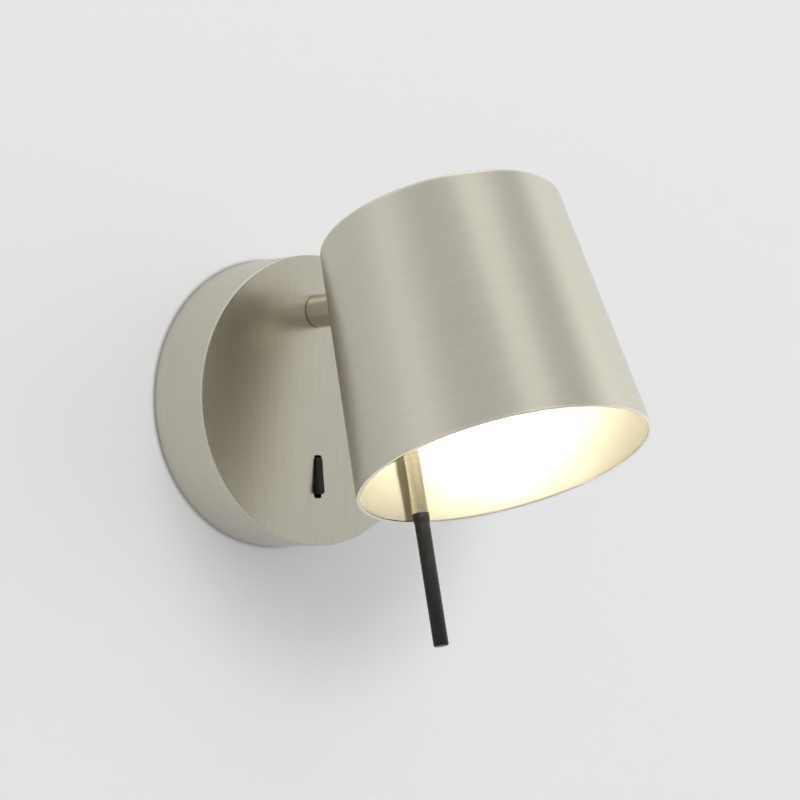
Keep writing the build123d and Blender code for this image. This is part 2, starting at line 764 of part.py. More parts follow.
def sunk_screw(place):
    """A countersunk screw at x and y in the shade's frame, its head flush in the strap."""
    origin = shade_frame.from_local_coords(Vector(place[0], place[1], strap_top - 0.1))
    screw_frame = Plane(origin=origin, x_dir=(1, 0, 0), z_dir=head_up)
    with BuildPart() as screw:
        with BuildSketch(section_of(screw_frame)) as half:
            Polygon(
                (0, 0), (sunk_screw_head_radius, 0),
                (sunk_screw_radius, sunk_screw_radius - sunk_screw_head_radius),
                (sunk_screw_radius, -sunk_screw_length), (0, -sunk_screw_length),
                align=None,
            )
        revolve(half.sketch, axis=axis_of(screw_frame))
        with BuildSketch(screw_frame) as socket:
            RegularPolygon(hex_socket_radius, 6)
        extrude(socket.sketch, amount=-1.0, mode=Mode.SUBTRACT)
    return screw.part


with BuildPart() as knuckle_screws:
    add([sunk_screw(place) for place in knuckle_screw_places])
save(knuckle_screws, "knuckle_screws")

with BuildPart() as lampholder_screw:
    add(sunk_screw((0, 0)))
save(lampholder_screw, "lampholder_screw")

slope = (shade_rim_radius - shade_top_radius) / shade_height
wall_across = shade_wall * (1 + slope * slope) ** 0.5
inner_top_radius = shade_rim_radius - slope * strap_top - wall_across

with BuildPart() as shade:
    with BuildSketch(section_of(shade_frame)):
        Polygon(
            (shade_rim_radius, 0), (shade_top_radius, shade_height), (0, shade_height),
            (0, strap_top), (inner_top_radius, strap_top), (shade_rim_radius - wall_across, 0),
            align=None,
        )
    revolve(axis=axis_of(shade_frame))
    top_rings = shade.edges().filter_by(GeomType.CIRCLE).sort_by(axis_of(shade_frame))
    fillet(top_rings[-1], shade_top_edge_radius)
    fillet(shade.edges().filter_by(GeomType.CIRCLE).group_by(axis_of(shade_frame))[0], shade_rim_edge_radius)
    # the slot that lets the arm's neck in, and lets the shade tilt about it
    slot_plane = Plane(
        origin=shade_frame.from_local_coords(Vector(0, pivot_rear, 0)),
        x_dir=(-1, 0, 0), z_dir=shade_frame.y_dir,
    )
    with BuildSketch(slot_plane):
        with Locations((0, (shade_slot_low + shade_slot_high) / 2)):
            SlotOverall(shade_slot_high - shade_slot_low, shade_slot_width, rotation=90)
    extrude(amount=30.0, mode=Mode.SUBTRACT)
save(shade, "shade")

with BuildPart() as shade_studs:
    with BuildSketch(shade_frame.offset(strap_top)):
        with Locations(*strap_stud_places):
            Circle(shade_stud_radius)
    extrude(amount=-shade_stud_length)
save(shade_studs, "shade_studs")

with BuildPart() as shade_nuts:
    with BuildSketch(shade_frame.offset(strap_bottom)):
        with Locations(*strap_stud_places):
            RegularPolygon(shade_nut_half_flats, 6, major_radius=False)
            Circle(shade_stud_radius + screw_fit, mode=Mode.SUBTRACT)
    extrude(amount=-shade_nut_height)
save(shade_nuts, "shade_nuts")

# ---- Lampholder and bulb ----

pins = [(pin_spread, 0), (-pin_spread, 0)]
entry_height = strap_bottom - 8.0

with BuildPart() as lampholder_body:
    with BuildSketch(shade_frame.offset(holder_bottom)):
        RectangleRounded(*holder_size, radius=3.0)
    extrude(amount=strap_bottom - holder_bottom)
    with BuildSketch(shade_frame.offset(holder_bottom)):
        RectangleRounded(*holder_recess_size, radius=3.2)
    extrude(amount=holder_recess, mode=Mode.SUBTRACT)
    with BuildSketch(shade_frame.offset(holder_bottom)):
        with Locations(*pins):
            Circle(contact_radius + 0.1)
    extrude(amount=15.0, mode=Mode.SUBTRACT)
    with BuildSketch(shade_frame.offset(strap_bottom)):
        Circle(sunk_screw_radius + screw_fit)
    extrude(amount=-6.0, mode=Mode.SUBTRACT)
    # a wire entry on each side
    with BuildSketch(Plane(origin=shade_frame.origin, x_dir=shade_frame.y_dir, z_dir=(1, 0, 0))):
        with Locations((0, entry_height)):
            Circle(wire_radius + 0.15)
    extrude(amount=20.0, both=True, mode=Mode.SUBTRACT)
save(lampholder_body, "lampholder_body")

with BuildPart() as lampholder_contacts:
    with BuildSketch(shade_frame.offset(holder_bottom + holder_recess + 0.6)):
        with Locations(*pins):
            Circle(contact_radius)
            Circle(contact_bore_radius, mode=Mode.SUBTRACT)
    extrude(amount=contact_length)
save(lampholder_contacts, "lampholder_contacts")

with BuildPart() as bulb_base:
    with BuildSketch(shade_frame.offset(bulb_collar)):
        RectangleRounded(*bulb_base_size, radius=3.0)
    extrude(amount=holder_bottom + holder_recess - bulb_collar)
    with BuildSketch(shade_frame.offset(bulb_neck)):
        Circle(bulb_collar_radius)
    extrude(amount=bulb_collar - bulb_neck)
    fillet(bulb_base.edges().filter_by(GeomType.CIRCLE).group_by(axis_of(shade_frame))[-1], 1.0)
save(bulb_base, "bulb_base")

with BuildPart() as bulb_pins:
    with BuildSketch(shade_frame.offset(holder_bottom + holder_recess)):
        with Locations(*pins):
            Circle(pin_radius)
    extrude(amount=pin_length)
    fillet(bulb_pins.edges().group_by(axis_of(shade_frame))[-1], 0.5)
save(bulb_pins, "bulb_pins")

with BuildPart() as bulb_envelope:
    with BuildSketch(section_of(shade_frame)):
        with BuildLine():
            dome = CenterArc((0, bulb_tip + bulb_radius), bulb_radius, -90, 90)
            Polyline(dome @ 1, (bulb_radius, bulb_neck), (0, bulb_neck), dome @ 0)
        make_face()
    revolve(axis=axis_of(shade_frame))
    with BuildSketch(section_of(shade_frame)):
        with BuildLine():
            hollow = CenterArc((0, bulb_tip + bulb_radius), bulb_radius - bulb_glass, -90, 90)
            Polyline(hollow @ 1, (bulb_radius - bulb_glass, bulb_neck), (0, bulb_neck), hollow @ 0)
        make_face()
    revolve(axis=axis_of(shade_frame), mode=Mode.SUBTRACT)
save(bulb_envelope, "bulb_envelope")

with BuildPart() as bulb_board:
    board_width, board_sheet, board_length = bulb_board_size
    with BuildSketch(shade_frame.offset(bulb_neck)):
        Rectangle(board_width, board_sheet)
    extrude(amount=-board_length)
save(bulb_board, "bulb_board")

# ---- Stem and handle ----

with BuildPart() as stem_rod:
    with BuildSketch(stem_frame.offset(rod_start)):
        Circle(rod_radius)
    extrude(amount=handle_end - handle_floor - 0.2 - rod_start)
save(stem_rod, "stem_rod")

with BuildPart() as stem_tube:
    with BuildSketch(stem_frame.offset(stem_start)):
        Circle(stem_radius)
        Circle(rod_radius + 0.1, mode=Mode.SUBTRACT)
    extrude(amount=stem_end - stem_start)
save(stem_tube, "stem_tube")

with BuildPart() as handle_grip:
    with BuildSketch(section_of(stem_frame)):
        Polygon(
            (0, stem_end), (collar_radius, stem_end), (collar_radius, stem_end + collar_length),
            (handle_radius, stem_end + collar_length + collar_taper_length),
            (handle_radius, handle_end), (0, handle_end),
            align=None,
        )
    revolve(axis=axis_of(stem_frame))
    grip_rings = handle_grip.edges().filter_by(GeomType.CIRCLE).sort_by(axis_of(stem_frame))
    fillet(grip_rings[-1], handle_edge_radius)
    with BuildSketch(stem_frame.offset(stem_end)):
        Circle(rod_radius + 0.02)
    extrude(amount=handle_end - handle_floor - stem_end, mode=Mode.SUBTRACT)
save(handle_grip, "handle_grip")

# ---- Wires ----


def wire(points):
    """A wire along straight runs and tangent arcs."""
    with BuildPart() as lead:
        with BuildLine() as route:
            FilletPolyline(*points, radius=bend_radii(points))
        with BuildSketch(Plane(origin=route.line @ 0, z_dir=route.line % 0)) as profile:
            Circle(wire_radius)
        sweep(profile.sketch, path=route.line)
    return lead


pole_top = block_z + 5.1
live_x, neutral_x, earth_pole_x = [x for x, z in poles]

live_lead = wire([
    (live_x, -pole_depth, pole_top), (live_x, -pole_depth, -6.0), (9.0, -6.0, -12.0),
    (0, -4.6, switch_z + 5.0), (0, -10.3, switch_z + 5.0),
])
save(live_lead, "live_lead")

switched_lead = wire([
    (0, -10.3, switch_z - 5.0), (0, -4.6, switch_z - 5.0), (-14.0, -5.0, -28.0),
    (-20.0, -6.0, 0), (-14.0, -6.0, 26.0), (-wire_spread, -4.6, arm_height),
    (-wire_spread, -(arm_wire_start - 0.3), arm_height),
])
save(switched_lead, "switched_lead")

neutral_lead = wire([
    (neutral_x, -pole_depth, pole_top), (neutral_x, -pole_depth, 18.0),
    (16.0, -6.0, 33.0), (wire_spread, -4.6, arm_height),
    (wire_spread, -(arm_wire_start - 0.3), arm_height),
])
save(neutral_lead, "neutral_lead")

earth_lead = wire([
    (earth_pole_x, -pole_depth, pole_top), (earth_pole_x, -pole_depth, -4.0),
    (31.0, -5.0, 2.0), (earth_x, -bracket_sheet - wire_radius, 4.0),
    (earth_x, -bracket_sheet - wire_radius, earth_z - 9.2),
])
save(earth_lead, "earth_lead")

with BuildPart() as arm_leads:
    with BuildSketch(arm_frame.offset(arm_wire_start)):
        with Locations((wire_spread, 0), (-wire_spread, 0)):
            Circle(wire_radius)
    extrude(amount=fork_root_depth - 0.4 - arm_wire_start)
save(arm_leads, "arm_leads")

# From the fork's root, up past the neck, round the knuckle's pad and into the lampholder
with BuildPart() as head_leads:
    for side in (1, -1):
        route = [
            (side * wire_spread, 5.9, 2.3), (side * wire_spread, 3.6, 6.6),
            (side * wire_spread, 1.6, 9.9), (side * 9.5, -1.5, 9.9), (side * 13.5, -14.0, 9.0),
            (side * 15.5, -30.0, entry_height - pivot_up),
            (side * 14.0, -pivot_rear, entry_height - pivot_up),
            (side * 8.0, -pivot_rear, entry_height - pivot_up),
        ]
        lead = wire([pivot_frame.from_local_coords(Vector(*point)) for point in route])
        add(lead.part)
save(head_leads, "head_leads")
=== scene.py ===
import json
import math

import bmesh
import bpy
import numpy as np
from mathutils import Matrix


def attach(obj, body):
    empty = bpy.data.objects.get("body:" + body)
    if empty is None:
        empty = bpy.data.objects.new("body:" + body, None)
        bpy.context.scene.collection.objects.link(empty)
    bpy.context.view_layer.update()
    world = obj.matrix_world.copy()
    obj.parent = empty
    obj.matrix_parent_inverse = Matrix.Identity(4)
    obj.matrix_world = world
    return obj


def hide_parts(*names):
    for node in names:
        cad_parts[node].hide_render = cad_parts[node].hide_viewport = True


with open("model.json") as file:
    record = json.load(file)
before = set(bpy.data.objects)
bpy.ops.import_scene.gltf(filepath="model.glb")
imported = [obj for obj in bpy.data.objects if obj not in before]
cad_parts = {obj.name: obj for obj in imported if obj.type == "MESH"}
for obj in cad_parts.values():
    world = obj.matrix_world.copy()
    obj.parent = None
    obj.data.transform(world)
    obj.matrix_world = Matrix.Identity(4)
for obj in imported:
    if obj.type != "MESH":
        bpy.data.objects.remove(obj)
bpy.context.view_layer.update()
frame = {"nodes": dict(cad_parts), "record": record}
print("frame loaded:", len(frame["nodes"]), "nodes")

mm = 0.001  # shapes are written in millimetres and stored in metres

# places

headTilt = math.radians(21.15)
stemTilt = math.radians(13.42)
sinHead, cosHead = math.sin(headTilt), math.cos(headTilt)
sinStem, cosStem = math.sin(stemTilt), math.cos(stemTilt)

# each place is an origin and three directions: across, up or rear, and along the piece's own axis
places = {
    "plate": ((0, 0, 0), (1, 0, 0), (0, 0, 1), (0, -1, 0)),
    "arm": ((0, 0, 36.8), (1, 0, 0), (0, 0, 1), (0, -1, 0)),
    "shade": ((0, -143.555, -30.716), (1, 0, 0), (0, cosHead, -sinHead), (0, sinHead, cosHead)),
    "stem": ((0, -75.3, 36.8), (1, 0, 0), (0, -cosStem, sinStem), (0, -sinStem, -cosStem)),
}


# A point is the origin plus x, y and z times the place's three directions.
def placed(points, place):
    origin, across, second, axis = (np.array(v, float) for v in places[place])
    return origin + points[..., 0:1] * across + points[..., 1:2] * second + points[..., 2:3] * axis


# x is the radius times cos(angle), y the radius times sin(angle), z the height.
def ringed(radius, height, angles):
    radius, height, angles = np.broadcast_arrays(radius, height, angles)
    return np.stack([radius * np.cos(angles), radius * np.sin(angles), height], -1)


# mesh helpers

# Corner indices of every cell of a grid, and each corner's row and unwrapped column.
def gridQuads(rows, columns, wrap, keep=None):
    r, c = np.meshgrid(np.arange(rows - 1), np.arange(columns if wrap else columns - 1), indexing="ij")
    cornerRows = np.stack([r, r, r + 1, r + 1], -1)
    cornerColumns = np.stack([c, c + 1, c + 1, c], -1)
    if keep is not None:
        cornerRows, cornerColumns = cornerRows[keep], cornerColumns[keep]
    cornerRows, cornerColumns = cornerRows.reshape(-1, 4), cornerColumns.reshape(-1, 4)
    return cornerRows * columns + cornerColumns % columns, cornerRows, cornerColumns


# One grid of points joins the piece. uv has one more column than points where the grid closes.
def addGrid(parts, points, uv, wrap=False, keep=None, finish=0, wear=0.0):
    rows, columns = points.shape[:2]
    quads, cornerRows, cornerColumns = gridQuads(rows, columns, wrap, keep)
    start = sum(len(p["points"]) for p in parts)
    parts.append({
        "points": points.reshape(-1, 3),
        "quads": quads + start,
        "uv": uv[cornerRows, cornerColumns] * mm,
        "finish": np.full(len(quads), finish),
        "wear": np.broadcast_to(np.asarray(wear, float), (rows, columns)).reshape(-1),
    })


# The grids become one closed mesh in metres that rides on a body.
def makePiece(name, parts, place, finishes, body, stands=(), sharp=35.0):
    points = placed(np.concatenate([p["points"] for p in parts]), place) * mm
    quads = np.concatenate([p["quads"] for p in parts])
    uv = np.concatenate([p["uv"] for p in parts])
    mesh = bpy.data.meshes.new(name)
    mesh.from_pydata(points.tolist(), [], quads.tolist())
    mesh.uv_layers.new(name="surface").data.foreach_set("uv", uv.astype(np.float32).ravel())
    mesh.polygons.foreach_set("material_index", np.concatenate([p["finish"] for p in parts]))
    worn = mesh.attributes.new("wear", "FLOAT", "POINT")
    worn.data.foreach_set("value", np.concatenate([p["wear"] for p in parts]).astype(np.float32))
    shape = bmesh.new()
    shape.from_mesh(mesh)
    bmesh.ops.remove_doubles(shape, verts=shape.verts, dist=1e-6)
    bmesh.ops.dissolve_degenerate(shape, edges=shape.edges, dist=1e-7)
    bmesh.ops.recalc_face_normals(shape, faces=shape.faces)
    openEdges = sum(1 for e in shape.edges if len(e.link_faces) != 2)
    shape.to_mesh(mesh)
    shape.free()
    mesh.shade_smooth()
    mesh.set_sharp_from_angle(angle=math.radians(sharp))
    obj = bpy.data.objects.new(name, mesh)
    bpy.context.scene.collection.objects.link(obj)
    for finish in finishes:
        mesh.materials.append(finish)
    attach(obj, body)
    if stands:
        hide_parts(*stands)
    print("made", name, len(mesh.polygons), "faces,", openEdges, "open edges")
    return obj


# A closed outline whose corners are arcs of the given radii. Also how far each point is into an arc.
def roundedPath(corners, radii, steps=6):
    corners = np.array(corners, float)
    found, bent = [], []
    for before, here, after, radius in zip(np.roll(corners, 1, 0), corners, np.roll(corners, -1, 0), radii):
        if radius <= 0:
            found.append(here[None])
            bent.append(np.zeros(1))
            continue
        inward, outward = before - here, after - here
        inward, outward = inward / np.linalg.norm(inward), outward / np.linalg.norm(outward)
        half = math.acos(np.clip(inward @ outward, -1, 1)) / 2
        middle = (inward + outward) / np.linalg.norm(inward + outward)
        centre = here + middle * radius / math.sin(half)
        first = here + inward * radius / math.tan(half) - centre
        last = here + outward * radius / math.tan(half) - centre
        t = np.linspace(0, 1, steps + 1)[:, None]
        whole = math.pi - 2 * half
        arc = (np.sin((1 - t) * whole) * first + np.sin(t * whole) * last) / math.sin(whole)
        found.append(centre + arc)
        bent.append(np.ones(steps + 1))
    return np.concatenate(found), np.concatenate(bent)


# How far along the path each point lies.
def runLength(path):
    return np.concatenate([[0], np.cumsum(np.linalg.norm(np.diff(path, axis=0), axis=1))])


# A profile of radius and height is carried round the axis. u runs round it and v along the profile.
def turned(parts, path, bent, count=96, closed=True, finish=0):
    if closed:
        path, bent = np.vstack([path, path[:1]]), np.append(bent, bent[0])
    angles = np.arange(count) * 2 * math.pi / count
    points = ringed(path[:, :1], path[:, 1:2], angles[None])
    reach = path[:, 0].max()
    across = np.linspace(0, 2 * math.pi * reach, count + 1)
    uv = np.stack(np.broadcast_arrays(across[None], runLength(path)[:, None]), -1)
    addGrid(parts, points, uv, wrap=True, finish=finish, wear=bent[:, None])


# A rounded rectangle round (0, 0), evenly stepped, from angle 0: its points, share of length and angle.
def denseOutline(halfWidth, halfHeight, radius, count=2400):
    a, b, r = halfWidth, halfHeight, min(radius, halfWidth, halfHeight)
    quarter = np.linspace(0, math.pi / 2, 121)
    pieces = []
    for turn, (cx, cy) in enumerate([(a - r, b - r), (r - a, b - r), (r - a, r - b), (a - r, r - b)]):
        angle = quarter + turn * math.pi / 2
        pieces.append(np.stack([cx + r * np.cos(angle), cy + r * np.sin(angle)], -1))
    path = np.vstack([[a, 0], *pieces, [a, 0]])
    length = runLength(path)
    share = np.linspace(0, 1, count)
    points = np.stack([np.interp(share, length / length[-1], path[:, k]) for k in (0, 1)], -1)
    angle = np.unwrap(np.arctan2(points[:, 1], points[:, 0]))
    return points, share, angle


# Points of a rounded rectangle at those shares of its length.
def outlineAt(share, halfWidth, halfHeight, radius):
    points, known, _ = denseOutline(halfWidth, halfHeight, radius)
    return np.stack([np.interp(share, known, points[:, k]) for k in (0, 1)], -1)


# The share of a rounded rectangle's length at which rays at those angles leave it.
def shareAt(angles, halfWidth, halfHeight, radius):
    _, known, angle = denseOutline(halfWidth, halfHeight, radius)
    turn = 2 * math.pi
    return np.interp(np.mod(angles, turn), np.mod(angle[:-1], turn), known[:-1], period=turn)


# The wall of a hole: rings of points from one face to the other.
# The grain's u goes round it over the given length, and its v goes through it over the given depths.
def addHoleWall(parts, rings, grain, wear):
    length, depths = grain
    uv = np.zeros((len(rings), len(rings[0]) + 1, 2))
    uv[..., 0] = np.linspace(0, length, len(rings[0]) + 1)
    uv[..., 1] = np.array(depths)[:, None]
    addGrid(parts, np.stack(rings), uv, wrap=True, wear=np.array(wear)[:, None])


# Rows that go straight from one outline to another with as many points.
def between(outer, inner, steps):
    t = np.array(steps)[:, None, None]
    return outer[None] * (1 - t) + inner[None] * t


# materials

def addNode(tree, kind, **values):
    node = tree.nodes.new(kind)
    for key, value in values.items():
        setattr(node, key, value)
    return node


# A shader node group with named sockets.
def newGroup(name, inputs, outputs):
    group = bpy.data.node_groups.new(name, "ShaderNodeTree")
    for label, kind, value in inputs:
        socket = group.interface.new_socket(label, in_out="INPUT", socket_type=kind)
        if value is not None:
            socket.default_value = value
    for label, kind in outputs:
        group.interface.new_socket(label, in_out="OUTPUT", socket_type=kind)
    return group, addNode(group, "NodeGroupInput"), addNode(group, "NodeGroupOutput")


# A maths node of sockets or plain numbers.
def mathOf(tree, first, second, operation="ADD", third=None):
    node = addNode(tree, "ShaderNodeMath", operation=operation)
    for index, value in enumerate([first, second] + ([third] if third is not None else [])):
        if hasattr(value, "links"):
            tree.links.new(value, node.inputs[index])
        else:
            node.inputs[index].default_value = value
    return node.outputs[0]


floatKind, vectorKind, colourKind = "NodeSocketFloat", "NodeSocketVector", "NodeSocketColor"


brushMix = {"fine": 0.6, "broad": 0.4, "toneGain": 4.0, "wearShine": 0.12, "wearSmooth": 0.06}
mouldMix = {"patchScale": 0.05, "toneGain": 2.0, "wearShine": 0.35}


# Brushing: noise drawn out along the first axis, fine lines plus broader bands.
def makeBrushedGroup(b):
    group, start, end = newGroup("brushedGrain", [
        ("Vector", vectorKind, None), ("Colour", colourKind, (0.6, 0.6, 0.6, 1)), ("Along", floatKind, 40.0),
        ("Across", floatKind, 3000.0), ("Contrast", floatKind, 0.05), ("Roughness", floatKind, 0.3),
        ("Spread", floatKind, 0.08), ("Band", floatKind, 0.11), ("Wear", floatKind, 0.0),
    ], [("Colour", colourKind), ("Roughness", floatKind), ("Height", floatKind)])
    link = group.links.new
    scale = addNode(group, "ShaderNodeCombineXYZ")
    link(start.outputs["Along"], scale.inputs[0])
    link(start.outputs["Across"], scale.inputs[1])
    link(start.outputs["Across"], scale.inputs[2])
    drawn = addNode(group, "ShaderNodeVectorMath", operation="MULTIPLY")
    link(start.outputs["Vector"], drawn.inputs[0])
    link(scale.outputs[0], drawn.inputs[1])
    fine = addNode(group, "ShaderNodeTexNoise")
    fine.inputs["Scale"].default_value = 1.0
    fine.inputs["Detail"].default_value = 3.0
    broad = addNode(group, "ShaderNodeTexNoise")
    link(start.outputs["Band"], broad.inputs["Scale"])
    broad.inputs["Detail"].default_value = 2.0
    for texture in (fine, broad):
        link(drawn.outputs[0], texture.inputs["Vector"])
    fineShare = mathOf(group, fine.outputs[0], b["fine"], "MULTIPLY")
    mixed = mathOf(group, broad.outputs[0], b["broad"], "MULTIPLY_ADD", fineShare)
    contrast = mathOf(group, mathOf(group, mixed, 0.5, "SUBTRACT"), start.outputs["Contrast"], "MULTIPLY")
    tone = mathOf(group, contrast, b["toneGain"], "MULTIPLY_ADD", 1.0)
    polished = mathOf(group, start.outputs["Wear"], b["wearShine"], "MULTIPLY_ADD", tone)
    shaded = addNode(group, "ShaderNodeVectorMath", operation="SCALE")
    link(start.outputs["Colour"], shaded.inputs[0])
    link(polished, shaded.inputs["Scale"])
    uneven = mathOf(group, broad.outputs[0], 0.5, "SUBTRACT")
    varied = mathOf(group, uneven, start.outputs["Spread"], "MULTIPLY_ADD", start.outputs["Roughness"])
    smoother = mathOf(group, start.outputs["Wear"], -b["wearSmooth"], "MULTIPLY_ADD", varied)
    link(shaded.outputs[0], end.inputs["Colour"])
    link(smoother, end.inputs["Roughness"])
    link(mixed, end.inputs["Height"])
    return group


# Moulded and cast surfaces: fine grain plus slow patches, which shift colour and gloss a little.
def makeMouldedGroup(m):
    group, start, end = newGroup("mouldedGrain", [
        ("Vector", vectorKind, None), ("Colour", colourKind, (0.5, 0.5, 0.5, 1)), ("Scale", floatKind, 2500.0),
        ("Contrast", floatKind, 0.06), ("Roughness", floatKind, 0.45), ("Spread", floatKind, 0.1),
        ("Wear", floatKind, 0.0),
    ], [("Colour", colourKind), ("Roughness", floatKind), ("Height", floatKind)])
    link = group.links.new
    fine = addNode(group, "ShaderNodeTexNoise")
    fine.inputs["Detail"].default_value = 2.0
    patch = addNode(group, "ShaderNodeTexNoise")
    patch.inputs["Detail"].default_value = 3.0
    link(start.outputs["Scale"], fine.inputs["Scale"])
    link(mathOf(group, start.outputs["Scale"], m["patchScale"], "MULTIPLY"), patch.inputs["Scale"])
    for texture in (fine, patch):
        link(start.outputs["Vector"], texture.inputs["Vector"])
    centred = mathOf(group, mathOf(group, fine.outputs[0], patch.outputs[0]), 1.0, "SUBTRACT")
    contrast = mathOf(group, centred, start.outputs["Contrast"], "MULTIPLY")
    tone = mathOf(group, contrast, m["toneGain"], "MULTIPLY_ADD", 1.0)
    shaded = addNode(group, "ShaderNodeVectorMath", operation="SCALE")
    link(start.outputs["Colour"], shaded.inputs[0])
    link(mathOf(group, start.outputs["Wear"], m["wearShine"], "MULTIPLY_ADD", tone), shaded.inputs["Scale"])
    uneven = mathOf(group, patch.outputs[0], 0.5, "SUBTRACT")
    varied = mathOf(group, uneven, start.outputs["Spread"], "MULTIPLY_ADD", start.outputs["Roughness"])
    link(shaded.outputs[0], end.inputs["Colour"])
    link(varied, end.inputs["Roughness"])
    link(fine.outputs[0], end.inputs["Height"])
    return group


brushedGroup = makeBrushedGroup(brushMix)
mouldedGroup = makeMouldedGroup(mouldMix)


# A material: one grain group feeds the shader, and fixed values sit on the shader's own sockets.
def finishOf(name, group, look, fixed, bump, ownSurface):
    material = bpy.data.materials.new(name)
    material.use_nodes = True
    tree = material.node_tree
    tree.nodes.clear()
    shader = addNode(tree, "ShaderNodeBsdfPrincipled")
    output = addNode(tree, "ShaderNodeOutputMaterial")
    tree.links.new(shader.outputs[0], output.inputs[0])
    grain = addNode(tree, "ShaderNodeGroup", node_tree=group)
    for label, value in look.items():
        grain.inputs[label].default_value = value
    if ownSurface:
        where = addNode(tree, "ShaderNodeUVMap", uv_map="surface").outputs[0]
        worn = addNode(tree, "ShaderNodeAttribute", attribute_name="wear")
        tree.links.new(worn.outputs["Fac"], grain.inputs["Wear"])
    else:
        where = addNode(tree, "ShaderNodeTexCoord").outputs["Object"]
    tree.links.new(where, grain.inputs["Vector"])
    raised = addNode(tree, "ShaderNodeBump")
    raised.inputs["Strength"].default_value = bump[0]
    raised.inputs["Distance"].default_value = bump[1] * mm
    tree.links.new(grain.outputs["Height"], raised.inputs["Height"])
    tree.links.new(raised.outputs[0], shader.inputs["Normal"])
    tree.links.new(grain.outputs["Colour"], shader.inputs["Base Color"])
    tree.links.new(grain.outputs["Roughness"], shader.inputs["Roughness"])
    for label, value in fixed.items():
        shader.inputs[label].default_value = value
    if ownSurface and fixed.get("Anisotropic"):
        tangent = addNode(tree, "ShaderNodeTangent", direction_type="UV_MAP", uv_map="surface")
        tree.links.new(tangent.outputs[0], shader.inputs["Tangent"])
    return material


nickel = (0.61, 0.585, 0.495, 1)
metal = {"Metallic": 1.0}
drawnMetal = {"Metallic": 1.0, "Anisotropic": 0.5, "Anisotropic Rotation": 0.25}

plateNickel = finishOf("plateNickel", brushedGroup, {
    "Colour": (0.635, 0.61, 0.52, 1), "Along": 60.0, "Across": 2200.0, "Contrast": 0.065, "Roughness": 0.29,
    "Spread": 0.06, "Band": 0.25,
}, metal, (0.25, 0.006), True)
shadeNickel = finishOf("shadeNickel", brushedGroup, {
    "Colour": nickel, "Along": 50.0, "Across": 1150.0, "Contrast": 0.05, "Roughness": 0.37, "Spread": 0.12,
    "Band": 0.3,
}, drawnMetal, (0.35, 0.01), True)
# the inside is the outer nickel made darker and warmer: painted shade and painted warm lamplight on the same metal
insideNickelPaintedShadeAndWarmth = finishOf("insideNickelPaintedShadeAndWarmth", brushedGroup, {
    "Colour": (0.39, 0.364, 0.295, 1), "Along": 25.0, "Across": 2500.0, "Contrast": 0.03,
    "Roughness": 0.62, "Spread": 0.06,
}, metal, (0.2, 0.01), True)
tubeNickel = finishOf("tubeNickel", brushedGroup, {
    "Colour": nickel, "Along": 60.0, "Across": 2000.0, "Contrast": 0.12, "Roughness": 0.12, "Spread": 0.05,
    "Band": 0.4,
}, metal, (0.4, 0.012), True)
gripBlack = finishOf("gripBlack", mouldedGroup, {
    "Colour": (0.012, 0.0118, 0.0118, 1), "Scale": 2200.0, "Contrast": 0.1, "Roughness": 0.36, "Spread": 0.1,
}, {"Specular IOR Level": 0.24}, (0.2, 0.02), True)
switchBlack = finishOf("switchBlack", mouldedGroup, {
    "Colour": (0.006, 0.0065, 0.006, 1), "Scale": 3200.0, "Contrast": 0.1, "Roughness": 0.45, "Spread": 0.1,
}, {"Specular IOR Level": 0.3}, (0.2, 0.02), True)
ringBlack = finishOf("ringBlack", mouldedGroup, {
    "Colour": (0.06, 0.057, 0.052, 1), "Scale": 3200.0, "Contrast": 0.1, "Roughness": 0.5, "Spread": 0.1,
}, {}, (0.2, 0.02), True)
opalGlass = finishOf("opalGlass", mouldedGroup, {
    "Colour": (0.93, 0.9, 0.84, 1), "Scale": 600.0, "Contrast": 0.02, "Roughness": 0.25, "Spread": 0.05,
}, {"Emission Strength": 150.0}, (0.05, 0.01), True)
glowLook = {"colour": (1.0, 0.955, 0.85), "neckShare": 0.12}


# The glow is full at the bulb's tip and fades to the neck's share, by the piece's own "wear".
def addGlow(material, look):
    tree = material.node_tree
    shader = next(node for node in tree.nodes if node.type == "BSDF_PRINCIPLED")
    fade = next(node for node in tree.nodes if node.type == "ATTRIBUTE")
    share = mathOf(tree, fade.outputs["Fac"], look["neckShare"] - 1.0, "MULTIPLY_ADD", 1.0)
    glow = addNode(tree, "ShaderNodeVectorMath", operation="SCALE")
    glow.inputs[0].default_value = look["colour"]
    tree.links.new(share, glow.inputs["Scale"])
    tree.links.new(glow.outputs[0], shader.inputs["Emission Color"])


addGlow(opalGlass, glowLook)

